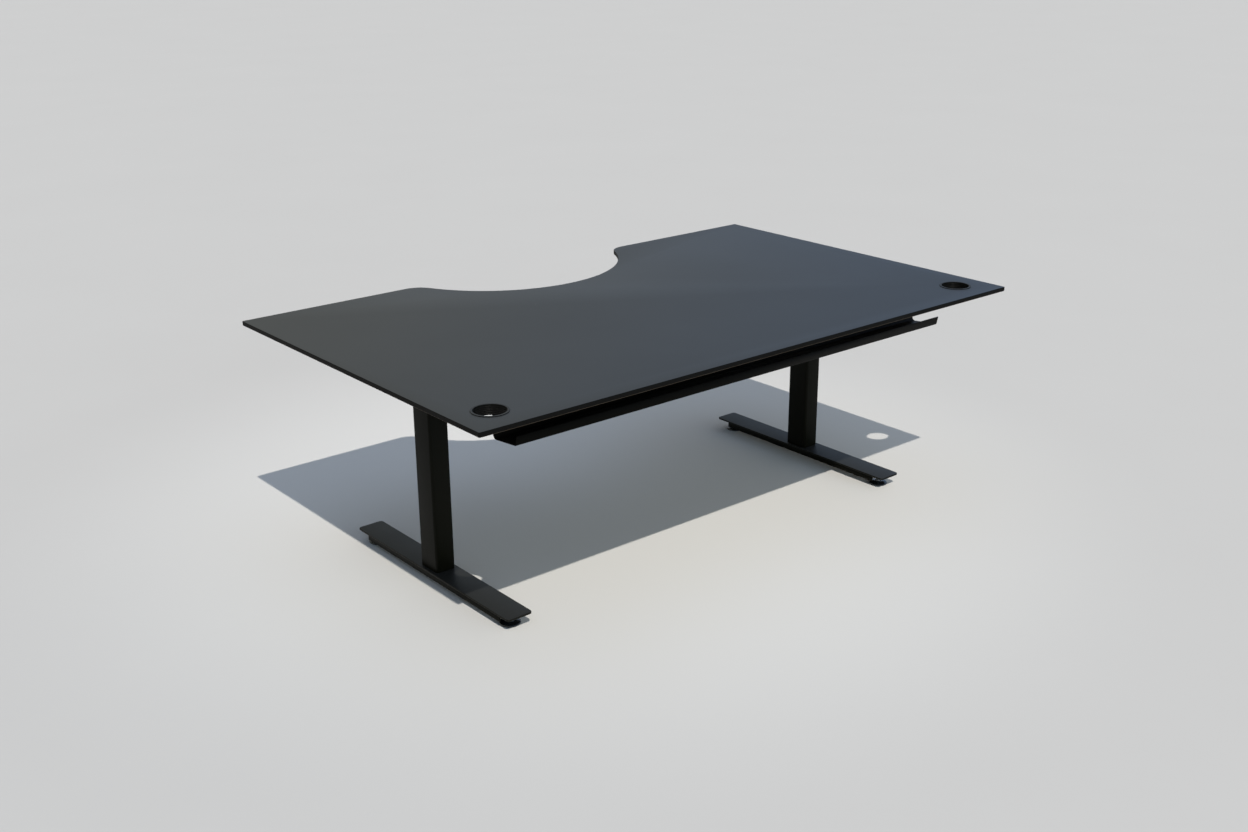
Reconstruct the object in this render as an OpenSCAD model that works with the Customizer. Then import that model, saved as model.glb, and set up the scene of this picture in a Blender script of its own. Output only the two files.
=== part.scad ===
// Electric sit-stand desk: a compact-laminate worktop with a belly cut-out on a
// two-leg T-foot frame. Each leg is a three-stage column with a telescoping
// screw drive. The user sits at -Y, +Y is the cable side, the floor is z = 0,
// and the desk stands at its lowest height.

/* [Worktop] */
// Width of the worktop
top_w = 1800; // [1700:10:2000]
// Depth of the worktop
top_d = 1100; // [1060:10:1200]
// Thickness of the compact laminate board
top_t = 12.5; // [12:0.5:19]
// Height of the working surface at the lowest setting
work_h = 615; // [600:5:680]
// Radius of the worktop's four corners
corner_r = 4; // [2:1:40]
// Radius of the belly cut-out in the front edge
cut_r = 375; // [320:5:400]
// Depth of the belly cut-out behind the front edge
cut_depth = 254; // [200:1:280]
// Radius that blends the cut-out into the front edge
cut_blend_r = 66; // [40:1:100]

/* [Cable ports] */
// Bore of the cable port's sleeve
port_bore = 76; // [60:1:76]
// Outside diameter of the port's flange
port_flange_d = 88; // [86:1:96]
// Thickness of the flange on the worktop
port_flange_t = 1.5; // [1:0.1:2.5]
// Wall of the sleeve
port_wall = 2; // [1.5:0.1:2.5]
// Depth of the sleeve below the working surface
port_depth = 22; // [20:1:30]
// Distance of the ports from the ends of the worktop
port_end_inset = 97; // [90:1:110]
// Distance of the ports from the rear edge
port_inset = 100; // [70:5:105]

/* [Columns] */
// Distance of each column's centre from the end of the worktop
leg_inset = 222; // [215:1:280]
// Width of the outer tube, along the desk
column_w = 56; // [56:1:60]
// Depth of the outer tube, front to back
column_d = 76; // [74:1:80]
// Wall of all three tubes
tube_wall = 2; // [1.5:0.1:2.2]
// Corner radius of the outer tube
tube_r = 7; // [7:0.5:9]
// Space between one tube and the next
stage_gap = 2.5; // [2.2:0.1:2.6]
// Running clearance of the plastic guides
guide_clear = 0.25; // [0.15:0.05:0.3]
// Length of each guide along its tube
guide_len = 60; // [40:5:70]
// Travel of the worktop from lowest to highest
stroke = 650; // [500:10:650]

/* [Feet] */
// Length of the foot plate in front of the column's centre
foot_front = 345; // [320:1:380]
// Length of the foot plate behind the column's centre
foot_rear = 361; // [320:1:380]
// Width of the foot plate
foot_w = 75; // [72:1:90]
// Thickness of the foot plate
plate_t = 5; // [4:0.5:6]
// Corner radius of the foot plate
foot_r = 10; // [6:1:14]
// Height of the foot plate's upper face above the floor
foot_top = 36; // [34:1:50]
// Width of the channel under the plate
channel_w = 68; // [60:1:70]
// Height of the channel's sides
channel_h = 16; // [14:1:18]
// Steel thickness of the channel
channel_wall = 2.5; // [2:0.5:3]
// How far the plate reaches past the channel in front
overhang_front = 48; // [30:1:60]
// How far the plate reaches past the channel at the rear
overhang_rear = 40; // [30:1:60]

/* [Levelling glides] */
// Diameter of the glide's pad
pad_d = 54; // [36:1:56]
// Height of the pad's rim
pad_h = 5; // [4:0.5:8]
// Diameter of the glide's threaded stud
stud_d = 10; // [8:1:12]
// Distance of a glide from the end of its plate
glide_inset = 45; // [42:1:60]
// Adjustment of each glide
glide_travel = 8; // [5:1:10]

/* [Lift drive] */
// Diameter of the fixed screw on the foot
fixed_screw_d = 12; // [10:1:12]
// Outside diameter of the hollow screw
hollow_screw_d = 20; // [18:1:20]
// Bore of the hollow screw
hollow_bore = 14; // [13:0.5:15]
// Outside diameter of the splined drive tube
drive_d = 31; // [30:0.5:31]
// Bore of the drive tube
drive_bore = 24.2; // [23.6:0.2:24.6]
// Radial clearance of the turning pieces
turn_clear = 0.05; // [0.02:0.01:0.08]
// Diameter of the motor
motor_d = 42; // [36:1:42]
// Length of the motor's can
motor_len = 92; // [70:1:120]

/* [Frame] */
// Width of the side arm
arm_w = 60; // [56:1:66]
// Steel thickness of the side arm and the cross beams
arm_wall = 2.5; // [2:0.5:3]
// Height of the side arm
arm_h = 24.5; // [22:0.5:28]
// Reach of the side arm towards the user
arm_front = 400; // [380:5:450]
// Height of the side arm at its tips
arm_tip_h = 10; // [8:1:14]
// Length of the side arm's taper towards the user
arm_taper_front = 90; // [60:5:120]
// Length of the side arm's taper towards the rear
arm_taper_rear = 70; // [50:5:90]
// Distance of each cross beam from the column's centre
beam_y = 150; // [110:5:160]
// Depth of a cross beam, front to back
beam_d = 50; // [30:1:60]
// Height of a cross beam
beam_h = 22; // [18:1:22]
// How far the beam's bolting tab reaches past the beam
tab_reach = 18; // [15:1:20]

/* [Cable tray] */
// How far the tray reaches past the columns' centres
tray_over = 57; // [40:1:65]
// Inside depth of the tray, front to back
tray_d = 88; // [70:1:90]
// Drop of the tray's floor below the working surface
tray_drop = 102; // [80:1:110]
// Height of the tray's rear lip
tray_lip = 16; // [12:1:40]
// How far the rear lip leans out
tray_lean = 5; // [0:1:8]
// Steel thickness of the tray
tray_t = 1.5; // [1.2:0.1:2]
// Distance of the tray's rear lip from the rear edge
tray_inset = 104; // [100:1:112]
// Number of cable-tie slots in the tray's front wall
tray_slots = 10; // [6:1:12]
// Height of the slots above the tray's floor
slot_rise = 38; // [30:1:50]

/* [Control box] */
// Length of the control box
box_l = 280; // [240:5:320]
// Depth of the control box, front to back
box_d = 84; // [70:1:86]
// Height of the control box
box_h = 36; // [34:1:42]

/* [Handset] */
// Distance of the handset from the middle of the desk
handset_x = 520; // [500:5:700]
// Width of the handset
handset_w = 96; // [90:1:120]
// Depth of the handset, front to back
handset_d = 46; // [44:1:60]
// Height of the handset
handset_h = 20; // [18:1:26]
// Width of a button
button_w = 26; // [20:1:30]
// Height of a button
button_h = 10; // [8:0.5:11]
// Travel of a button
button_travel = 1.2; // [0.8:0.1:1.5]

/* [Hidden] */
$fn = 64;

// Sides: -1 is the user's left, 1 the user's right; ends: -1 front, 1 rear
leg_x = top_w / 2 - leg_inset;
fit_clear = 0.1;          // between parts that are pushed or bolted together
cut_over = 1;             // how far a cutter runs past the face it cuts

// Worktop
under_z = work_h - top_t;
port_x = top_w / 2 - port_end_inset;
port_y = top_d / 2 - port_inset;
sleeve_d = port_bore + 2 * port_wall;
port_hole_d = sleeve_d + 2 * fit_clear;
cut_centre_y = -top_d / 2 - (cut_r - cut_depth);
blend_centre_y = -top_d / 2 + cut_blend_r;
blend_centre_x = sqrt(pow(cut_r + cut_blend_r, 2) - pow(blend_centre_y - cut_centre_y, 2));

// Tubes, from the outside in
step = 2 * (tube_wall + stage_gap);
middle_w = column_w - step;
middle_d = column_d - step;
inner_w = middle_w - step;
inner_d = middle_d - step;
step_r = tube_wall + 0.3;
middle_r = tube_r - step_r;
inner_r = middle_r - step_r / 2;

// Heights of the frame and the gear housing
arm_z = under_z - arm_h;
boss_top_z = under_z - arm_wall;
housing_h = 50;
housing_z = arm_z - housing_h;
housing_w = 64;
housing_d = 96;
housing_r = 8;
rib_t = 3;                // cast ribs on the front and rear of the housing
rib_reach = 3;
rib_pitch = 15;
rib_margin = 5;           // from the housing's upper and lower faces
pocket_h = 12;            // depth of the inner tube's seat in the housing
inner_top_z = housing_z + pocket_h;

// Heights of the stages: each rim stands a little under the next
rim_gap = 4;
lip_t = 3;                // lip of a guide on its tube's rim
middle_top_z = housing_z - rim_gap - lip_t;
outer_top_z = middle_top_z - rim_gap - lip_t;
base_t = 8;               // steel plate in the foot of the outer tube
base_z = foot_top + base_t;
middle_z = base_z + rim_gap;
mid_plate_t = 8;
shoe_len = 40;

// Screw drive
end_play = 0.1;           // axial clearance of a turning piece
collar_t = 3;
collar_r = 14;
ring_t = 2;
ring_r = 12;
journal_r = 9;
hollow_z = middle_z - end_play - ring_t;
collar_z = middle_z + mid_plate_t + end_play;
inner_z = collar_z + collar_t + rim_gap;
nut_web = 3;              // web of the inner nut under its tube
nut_plug = 27;
nut_thread = 26;          // threaded length at the foot of the hollow screw
drive_z = inner_z + nut_plug + rim_gap;
drive_cap = 8;
drive_top_z = inner_top_z - end_play;
drive_journal_r = 8;
drive_journal_h = 15;
head_len = 20;            // splined head of the hollow screw
head_top_z = drive_top_z - drive_cap - rim_gap;
screw_spare = 20;         // thread left over at either end of the travel
fixed_top_z = hollow_z + nut_thread + stroke / 2 + screw_spare;
key_w = 4;
key_h = 1.2;

// Motor: its worm passes beside the wheel, so its axis is set off from the column
motor_rise = 2;           // of its axis above the middle of the housing
motor_z = housing_z + housing_h / 2 + motor_rise;
motor_y = 20;
motor_flange = 46;
motor_flange_t = 4;
motor_cap_len = 9;

// Bolts
bolt_r = 3;
bolt_head_r = 5;
bolt_head_h = 4;
boss_d = 88;              // block of the gear housing inside the side arm
boss_bolt_y = 30;
tab_t = 4;
tab_r = 4;
tab_d = beam_d + 2 * tab_reach;
tab_bolt_y = (beam_d + tab_reach) / 2;
boss_bolt_len = 14;
boss_bolt_hole = boss_bolt_len + 1;
tab_bolt_len = 12;
bolt_z = under_z - beam_h / 2;

// Feet
channel_z = foot_top - plate_t - channel_h;
channel_front_y = -foot_front + overhang_front;
channel_rear_y = foot_rear - overhang_rear;
foot_bolt_x = 16;
foot_bolt_y = 26;
foot_bolt_r = 4;
foot_bolt_head_r = 6.5;
foot_bolt_head_h = 6;
nut_flats_r = 9.8;
stud_grip = 6;            // thread still held with the glide let right down
nut_h = glide_travel + stud_grip + 1;
stud_top_z = foot_top - plate_t - 1;
stud_seat_z = 2;
pad_chamfer = 1.5;
hub_rise = 4;             // of the pad's hub above its rim
hub_wall = 4;
wrench_h = 3;

// Tray
tray_l = 2 * (leg_x + tray_over);
tray_rear_y = top_d / 2 - tray_inset;
tray_front_y = tray_rear_y - tray_d;
tray_z = work_h - tray_drop;
tray_flange = 24;
tray_screw_y = tray_front_y - tray_flange / 2;
tray_screw_gap = 280;
slot_l = 34;
slot_h = 7;

// The side arms stop short of the tray
arm_tray_gap = 6;
arm_rear = tray_front_y - tray_flange - arm_tray_gap;

// Accessories
small_r = 2;
small_head_r = 4;
small_head_h = 2.4;
small_depth = 8;
// The box sits midway between the rear beam and the tray's flange
box_y = (beam_y + beam_d / 2 + tray_front_y - tray_flange) / 2;
box_ear = 14;
box_ear_t = 3;
inlet_x = 85;
inlet_w = 27;
inlet_h = 20;
inlet_depth = 16;
port_w = 12;
port_h = 9;
vent_l = 44;
vent_w = 3;
handset_y = -top_d / 2 + 3;
handset_screw_x = handset_w / 2 - 9;
handset_screw_y = handset_d - 14;
button_gap = 0.3;
button_proud = 1.8;
button_back = 2.4;
button_pocket = button_back + button_travel + 0.6;
button_spread = handset_w / 2 - 8;
button_z = under_z - handset_h / 2;
stem_r = 2;
stem_len = 5;

function unit(v) = v / norm(v);
function normal(a, b) = let(d = unit(b - a)) [-d[1], d[0]];
function mitre(p, i, t) =
    let(last = len(p) - 1,
        n1 = normal(p[max(i - 1, 0)], p[max(i, 1)]),
        n2 = normal(p[min(i, last - 1)], p[min(i + 1, last)]),
        m = unit(n1 + n2))
    p[i] + m * t / (m * n1);

// A rectangle with round corners, centred
module rounded_rect(w, d, r) {
    square([w - 2 * r, d], center = true);
    square([w, d - 2 * r], center = true);
    for (sx = [-1, 1], sy = [-1, 1])
        translate([sx * (w / 2 - r), sy * (d / 2 - r)]) circle(r);
}

// A block that stands on z = 0 with round vertical edges
module block(w, d, h, r) {
    linear_extrude(h) rounded_rect(w, d, r);
}

// A box-section collar between an outer and an inner outline
module collar(w, d, r, hole_w, hole_d, hole_r, h) {
    linear_extrude(h) difference() {
        rounded_rect(w, d, r);
        rounded_rect(hole_w, hole_d, hole_r);
    }
}

// A drawn tube with a constant wall
module tube(w, d, r, h) {
    collar(w, d, r, w - 2 * tube_wall, d - 2 * tube_wall, r - tube_wall, h);
}

// A bent sheet: the path is its outer face, and t its thickness to the left
module sheet(path, t) {
    polygon(concat(path, [for (i = [len(path) - 1 : -1 : 0]) mitre(path, i, t)]));
}

// Puts a profile drawn in Y and Z along the X axis, centred
module along_x(l) {
    translate([-l / 2, 0, 0]) rotate([90, 0, 90]) linear_extrude(l) children();
}

module at_leg(side) {
    translate([side * leg_x, 0, 0]) children();
}

module at_legs() {
    for (side = [-1, 1]) at_leg(side) children();
}

// Turns a piece that points up so that it points towards -X (dir = -1) or +X
module lie_x(dir) {
    rotate([0, dir * 90, 0]) children();
}

// A hex-head bolt under whose head is z = 0 and whose shank points up
module bolt(length) {
    translate([0, 0, -bolt_head_h]) cylinder(r = bolt_head_r, h = bolt_head_h, $fn = 6);
    cylinder(r = bolt_r, h = length);
}

// ---------------------------------------------------------------- worktop

module belly_cut() {
    translate([0, cut_centre_y]) circle(cut_r, $fn = 128);
    for (sx = [-1, 1]) difference() {
        polygon([
            [0, cut_centre_y], [sx * blend_centre_x, blend_centre_y],
            [sx * blend_centre_x, cut_centre_y],
        ]);
        translate([sx * blend_centre_x, blend_centre_y]) circle(cut_blend_r);
    }
}

module tabletop() {
    color([0.13, 0.13, 0.14])
    difference() {
        translate([0, 0, under_z]) linear_extrude(top_t) difference() {
            rounded_rect(top_w, top_d, corner_r);
            belly_cut();
            for (sx = [-1, 1]) translate([sx * port_x, port_y]) circle(d = port_hole_d);
        }
        for (p = top_screw_places) translate([p[0], p[1], under_z - cut_over])
            cylinder(r = bolt_r + turn_clear, h = top_screw_len - arm_wall + 1 + cut_over);
        for (p = accessory_places) translate([p[0], p[1], under_z - cut_over])
            cylinder(r = small_r + turn_clear, h = small_depth + 0.5 + cut_over);
    }
}

// Ring that lines a cable hole: a flange on the worktop and a sleeve through it
module port(side) {
    translate([side * port_x, port_y, work_h]) color([0.2, 0.2, 0.21])
    rotate_extrude() polygon([
        [port_bore / 2, -port_depth], [sleeve_d / 2, -port_depth], [sleeve_d / 2, 0],
        [port_flange_d / 2, 0], [port_flange_d / 2, port_flange_t * 0.5],
        [port_flange_d / 2 - port_flange_t, port_flange_t], [port_bore / 2, port_flange_t],
    ]);
}

// Screws through the side arms into the worktop
top_screw_len = 10;
top_screw_inset = 25;     // from the tips of the side arm
top_screw_y = [-arm_front + top_screw_inset, -220, 95, arm_rear - top_screw_inset];
top_screw_places = [for (sx = [-1, 1], y = top_screw_y) [sx * leg_x, y]];

module tabletop_screws() {
    color("silver") for (p = top_screw_places)
        translate([p[0], p[1], under_z - arm_wall]) {
            cylinder(r = bolt_r, h = top_screw_len);
            translate([0, 0, -2.5]) cylinder(r = 5.5, h = 2.5);
        }
}

// ------------------------------------------------------------------ frame

module side_arm(side) {
    color([0.1, 0.1, 0.1]) at_leg(side) difference() {
        along_x(arm_w) polygon([
            [-arm_front, under_z], [-arm_front, under_z - arm_tip_h],
            [-arm_front + arm_taper_front, arm_z], [arm_rear - arm_taper_rear, arm_z],
            [arm_rear, under_z - arm_tip_h], [arm_rear, under_z],
        ]);
        translate([-arm_w / 2 + arm_wall, -arm_front - cut_over, arm_z - cut_over])
            cube([arm_w - 2 * arm_wall, arm_front + arm_rear + 2 * cut_over, arm_h - arm_wall + cut_over]);
        for (y = top_screw_y) translate([0, y, under_z - arm_wall - cut_over])
            cylinder(r = bolt_r + fit_clear, h = arm_wall + 2 * cut_over);
        for (y = [-boss_bolt_y, boss_bolt_y]) translate([-arm_w, y, bolt_z])
            lie_x(1) cylinder(r = bolt_r + fit_clear, h = 2 * arm_w);
        for (y = beam_bolt_y) translate([-side * arm_w, y, bolt_z])
            lie_x(side) cylinder(r = bolt_r + fit_clear, h = arm_w);
    }
}

beam_bolt_y = [for (by = [-beam_y, beam_y], ty = [-tab_bolt_y, tab_bolt_y]) by + ty];
beam_l = 2 * leg_x - arm_w;

// Rectangular beam with a bolting tab welded to each end
module cross_beam(end) {
    color([0.1, 0.1, 0.1]) translate([0, end * beam_y, under_z - beam_h]) difference() {
        union() {
            along_x(beam_l - 2 * tab_t) translate([0, beam_h / 2]) difference() {
                square([beam_d, beam_h], center = true);
                square([beam_d - 2 * arm_wall, beam_h - 2 * arm_wall], center = true);
            }
            for (sx = [-1, 1]) translate([sx * (beam_l - tab_t) / 2, 0, 0]) along_x(tab_t)
                translate([0, beam_h / 2]) rounded_rect(tab_d, beam_h, tab_r);
        }
        for (ty = [-tab_bolt_y, tab_bolt_y]) translate([-top_w / 2, ty, beam_h / 2])
            lie_x(1) cylinder(r = bolt_r + fit_clear, h = top_w);
    }
}

// Bolts of the side arms: into the gear housings and through the beams' tabs
module frame_bolts() {
    color("silver") {
        for (side = [-1, 1], dir = [-1, 1], y = [-boss_bolt_y, boss_bolt_y])
            translate([side * leg_x - dir * arm_w / 2, y, bolt_z]) lie_x(dir) bolt(boss_bolt_len);
        for (side = [-1, 1], y = beam_bolt_y)
            translate([side * (leg_x - arm_w / 2 - tab_t), y, bolt_z]) lie_x(side) bolt(tab_bolt_len);
    }
}

// ------------------------------------------------------------- cable tray

module cable_tray() {
    path = [
        [tray_rear_y + tray_lean, tray_z + tray_lip], [tray_rear_y, tray_z],
        [tray_front_y, tray_z], [tray_front_y, under_z],
        [tray_front_y - tray_flange, under_z],
    ];
    color([0.1, 0.1, 0.1]) difference() {
        along_x(tray_l) sheet([
            path[0], path[1], path[2], path[3] - [0, tray_t], path[4] - [0, tray_t],
        ], -tray_t);
        for (x = tray_screw_x) translate([x, tray_screw_y, under_z - 2 * tray_t])
            cylinder(r = small_r + fit_clear, h = 3 * tray_t);
        for (i = [0 : tray_slots - 1])
            translate([(i - (tray_slots - 1) / 2) * tray_l / (tray_slots + 1),
                       tray_front_y - 2 * tray_t, tray_z + slot_rise])
                rotate([-90, 0, 0]) block(slot_l, slot_h, 4 * tray_t, slot_h / 2 - 0.01);
    }
}

tray_screw_x = [for (i = [-2 : 2]) i * tray_screw_gap];
box_ear_x = box_l / 2 + box_ear / 2;
accessory_places = concat(
    [for (x = tray_screw_x) [x, tray_screw_y, tray_t]],
    [for (sx = [-1, 1], dy = [-1, 1]) [sx * box_ear_x, box_y + dy * box_d / 4, box_ear_t]],
    [for (sx = [-1, 1]) [handset_x + sx * handset_screw_x, handset_y + handset_screw_y, box_ear_t]]);

// Pan-head screws of the tray, the control box and the handset
module accessory_screws() {
    color("silver") for (p = accessory_places) translate([p[0], p[1], under_z - p[2]]) {
        cylinder(r = small_r, h = p[2] + small_depth);
        translate([0, 0, -small_head_h]) cylinder(r = small_head_r, h = small_head_h);
    }
}

// ------------------------------------------------------------ electronics

module control_box() {
    rear_y = box_y + box_d / 2;
    port_z = under_z - box_h / 2;
    color([0.12, 0.12, 0.12]) difference() {
        union() {
            translate([0, box_y, under_z - box_h]) block(box_l, box_d, box_h, 5);
            translate([0, box_y, under_z - box_ear_t])
                block(box_l + 2 * box_ear, box_d - 20, box_ear_t, 5);
        }
        for (sx = [-1, 1], dy = [-1, 1]) translate([sx * box_ear_x, box_y + dy * box_d / 4, under_z - box_h])
            cylinder(r = small_r + fit_clear, h = 2 * box_h);
        translate([inlet_x, rear_y - inlet_depth, port_z]) rotate([-90, 0, 0])
            block(inlet_w, inlet_h, inlet_depth + cut_over, 2);
        for (i = [0 : 2]) translate([-inlet_x + i * 2 * port_w, rear_y - 10, port_z])
            rotate([-90, 0, 0]) block(port_w, port_h, 10 + cut_over, 1);
        for (i = [-4 : 4]) translate([i * 3 * vent_w, box_y, under_z - box_h - cut_over])
            block(vent_w, vent_l, cut_over + 1.5, vent_w / 2 - 0.01);
    }
}

// Three-pin mains inlet set into the rear of the control box
module mains_inlet() {
    wall = 2;
    color([0.08, 0.08, 0.08])
    translate([inlet_x, box_y + box_d / 2 - inlet_depth, under_z - box_h / 2]) rotate([-90, 0, 0]) {
        difference() {
            block(inlet_w - 2 * fit_clear, inlet_h - 2 * fit_clear, inlet_depth, 2);
            translate([0, 0, wall]) block(inlet_w - 2 * wall, inlet_h - 2 * wall, inlet_depth, 1);
        }
        for (p = [[-6, 1.5], [0, -1.5], [6, 1.5]])
            translate([p[0] - 1, p[1] - 2, wall]) cube([2, 4, inlet_depth - 2 * wall - 1]);
    }
}

module handset() {
    edge = 6;
    color([0.12, 0.12, 0.12]) translate([handset_x, handset_y, 0]) difference() {
        along_x(handset_w) polygon([
            [0, under_z], [0, under_z - handset_h + 1.5], [1.5, under_z - handset_h],
            [handset_d - edge, under_z - handset_h], [handset_d, under_z - handset_h + edge],
            [handset_d, under_z],
        ]);
        for (sx = [-1, 1]) translate([sx * button_spread / 2, 0, button_z]) rotate([-90, 0, 0]) {
            translate([0, 0, -cut_over]) block(button_w, button_h, button_pocket + cut_over, 2.5);
            cylinder(r = stem_r + fit_clear, h = button_pocket + stem_len + button_travel);
        }
        for (sx = [-1, 1]) translate([sx * handset_screw_x, handset_screw_y, under_z - 2 * handset_h]) {
            cylinder(r = small_r + fit_clear, h = 3 * handset_h);
            cylinder(r = small_head_r + 0.5, h = 2 * handset_h - box_ear_t);
        }
    }
}

// A push button and the stem that reaches its switch
module button(side) {
    color([0.3, 0.3, 0.3])
    translate([handset_x + side * button_spread / 2, handset_y, button_z]) rotate([-90, 0, 0]) {
        translate([0, 0, -button_proud])
            block(button_w - 2 * button_gap, button_h - 2 * button_gap, button_proud + button_back, 2.2);
        cylinder(r = stem_r, h = button_back + stem_len);
    }
}

// -------------------------------------------------------- gear and motors

// Cast housing of the worm gear, ribbed in front and behind; its boss fills the side arm
module gear_housing(side) {
    color([0.22, 0.22, 0.23]) at_leg(side) difference() {
        union() {
            translate([0, 0, housing_z]) block(housing_w, housing_d, housing_h, housing_r);
            for (i = [-1 : 1]) translate([i * rib_pitch, 0, housing_z + rib_margin])
                block(rib_t, housing_d + 2 * rib_reach, housing_h - 2 * rib_margin, rib_t / 2 - 0.01);
            translate([0, 0, arm_z])
                block(arm_w - 2 * arm_wall - 4 * fit_clear, boss_d, boss_top_z - arm_z, 4);
        }
        translate([0, 0, housing_z - cut_over]) block(inner_w, inner_d, pocket_h + cut_over, inner_r);
        translate([0, 0, inner_top_z - cut_over])
            cylinder(r = drive_journal_r + turn_clear, h = drive_journal_h + cut_over + 1);
        for (dir = [-1, 1], y = [-boss_bolt_y, boss_bolt_y])
            translate([-dir * arm_w / 2, y, bolt_z]) lie_x(dir)
                cylinder(r = bolt_r + turn_clear, h = boss_bolt_hole);
    }
}

module motor(side) {
    color([0.25, 0.25, 0.26])
    translate([side * (leg_x - housing_w / 2), motor_y, motor_z]) lie_x(-side) {
        block(motor_flange, motor_flange, motor_flange_t, 6);
        cylinder(d = motor_d, h = motor_flange_t + motor_len);
        cylinder(d = motor_d - 8, h = motor_flange_t + motor_len + motor_cap_len);
    }
}

// ------------------------------------------------------------ inner stage

module inner_tube(side) {
    color([0.1, 0.1, 0.1]) at_leg(side) translate([0, 0, inner_z])
        tube(inner_w, inner_d, inner_r, inner_top_z - inner_z);
}

// Plastic block in the foot of the inner tube: nut for the hollow screw, and shoe
module inner_nut(side) {
    skirt_w = middle_w - 2 * tube_wall - 2 * guide_clear;
    skirt_d = middle_d - 2 * tube_wall - 2 * guide_clear;
    plug_w = inner_w - 2 * tube_wall;
    plug_d = inner_d - 2 * tube_wall;
    color("white") at_leg(side) difference() {
        union() {
            translate([0, 0, inner_z - nut_web]) block(skirt_w, skirt_d, nut_web, inner_r);
            translate([0, 0, inner_z])
                collar(skirt_w, skirt_d, inner_r, inner_w, inner_d, inner_r, shoe_len);
            translate([0, 0, inner_z]) block(plug_w, plug_d, nut_plug, inner_r - tube_wall);
        }
        translate([0, 0, inner_z - nut_web - cut_over])
            cylinder(r = hollow_screw_d / 2 + turn_clear, h = nut_plug + nut_web + 2 * cut_over);
    }
}

// Splined tube that the motor turns; it drives the hollow screw's head
module drive_tube(side) {
    color("silver") at_leg(side) difference() {
        union() {
            translate([0, 0, drive_z]) cylinder(d = drive_d, h = drive_top_z - drive_z);
            translate([0, 0, drive_z])
                cylinder(r = drive_journal_r, h = drive_top_z - drive_z + drive_journal_h);
        }
        translate([0, 0, drive_z - cut_over])
            cylinder(d = drive_bore, h = drive_top_z - drive_cap - drive_z + cut_over);
        translate([-drive_bore / 2 - key_h - fit_clear, -key_w / 2 - fit_clear, drive_z - cut_over])
            cube([drive_bore + 2 * key_h + 2 * fit_clear, key_w + 2 * fit_clear,
                  drive_top_z - drive_cap - drive_z + cut_over]);
    }
}

// ----------------------------------------------------------- middle stage

module middle_tube(side) {
    color([0.1, 0.1, 0.1]) at_leg(side) translate([0, 0, middle_z])
        tube(middle_w, middle_d, middle_r, middle_top_z - middle_z);
}

// Plastic guide in the mouth of a tube, with a lip on its rim
module guide(w, d, r, hole_w, hole_d, hole_r, top_z) {
    color([0.15, 0.15, 0.15]) {
        translate([0, 0, top_z])
            collar(w, d, r, hole_w + 2 * guide_clear, hole_d + 2 * guide_clear, hole_r, lip_t);
        translate([0, 0, top_z - guide_len])
            collar(w - 2 * tube_wall, d - 2 * tube_wall, r - tube_wall,
                   hole_w + 2 * guide_clear, hole_d + 2 * guide_clear, hole_r, guide_len);
    }
}

module middle_guide(side) {
    at_leg(side) guide(middle_w, middle_d, middle_r, inner_w, inner_d, inner_r, middle_top_z);
}

// Plastic shoe round the foot of the middle tube, running in the outer tube
module middle_shoe(side) {
    color("white") at_leg(side) translate([0, 0, middle_z])
        collar(column_w - 2 * tube_wall - 2 * guide_clear, column_d - 2 * tube_wall - 2 * guide_clear,
               tube_r - tube_wall, middle_w, middle_d, middle_r, shoe_len);
}

// Steel plate that carries the hollow screw in the foot of the middle tube
module middle_plate(side) {
    color("silver") at_leg(side) translate([0, 0, middle_z]) difference() {
        block(middle_w - 2 * tube_wall, middle_d - 2 * tube_wall, mid_plate_t, middle_r - tube_wall);
        translate([0, 0, -cut_over])
            cylinder(r = journal_r + turn_clear, h = mid_plate_t + 2 * cut_over);
    }
}

// Hollow screw: it climbs the fixed screw and pushes the inner nut up
module hollow_screw(side) {
    head_d = drive_bore - 4 * turn_clear;
    color("silver") at_leg(side) difference() {
        union() {
            translate([0, 0, hollow_z]) cylinder(r = ring_r, h = ring_t);
            translate([0, 0, hollow_z]) cylinder(r = journal_r, h = collar_z - hollow_z);
            translate([0, 0, collar_z]) cylinder(r = collar_r, h = collar_t);
            translate([0, 0, collar_z]) cylinder(d = hollow_screw_d, h = head_top_z - collar_z);
            translate([0, 0, head_top_z - head_len]) cylinder(d = head_d, h = head_len);
            translate([-head_d / 2 - key_h, -key_w / 2, head_top_z - head_len])
                cube([head_d + 2 * key_h, key_w, head_len]);
        }
        translate([0, 0, hollow_z - cut_over])
            cylinder(r = fixed_screw_d / 2 + turn_clear, h = nut_thread + 2 * cut_over);
        translate([0, 0, hollow_z + nut_thread])
            cylinder(d = hollow_bore, h = head_top_z - hollow_z);
    }
}

// ------------------------------------------------------------ outer stage

module outer_tube(side) {
    color([0.1, 0.1, 0.1]) at_leg(side) translate([0, 0, foot_top])
        tube(column_w, column_d, tube_r, outer_top_z - foot_top);
}

module outer_guide(side) {
    at_leg(side) guide(column_w, column_d, tube_r, middle_w, middle_d, middle_r, outer_top_z);
}

// Threaded rod that stands on the column's base and never turns
module fixed_screw(side) {
    color("silver") at_leg(side) translate([0, 0, base_z])
        cylinder(d = fixed_screw_d, h = fixed_top_z - base_z);
}

module foot_bolt_places() {
    for (sx = [-1, 1], sy = [-1, 1]) translate([sx * foot_bolt_x, sy * foot_bolt_y, 0]) children();
}

// Steel plate welded into the foot of the outer tube, tapped for the foot bolts
module column_base(side) {
    color([0.3, 0.3, 0.3]) at_leg(side) difference() {
        translate([0, 0, foot_top])
            block(column_w - 2 * tube_wall, column_d - 2 * tube_wall, base_t, tube_r - tube_wall);
        translate([0, 0, foot_top - cut_over]) foot_bolt_places()
            cylinder(r = foot_bolt_r + turn_clear, h = base_t + 2 * cut_over);
    }
}

// ------------------------------------------------------------------- feet

// Y position of a glide, at the front (-1) or rear (1) end of the foot
function glide_y(end) = end < 0 ? -foot_front + glide_inset : foot_rear - glide_inset;

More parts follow.
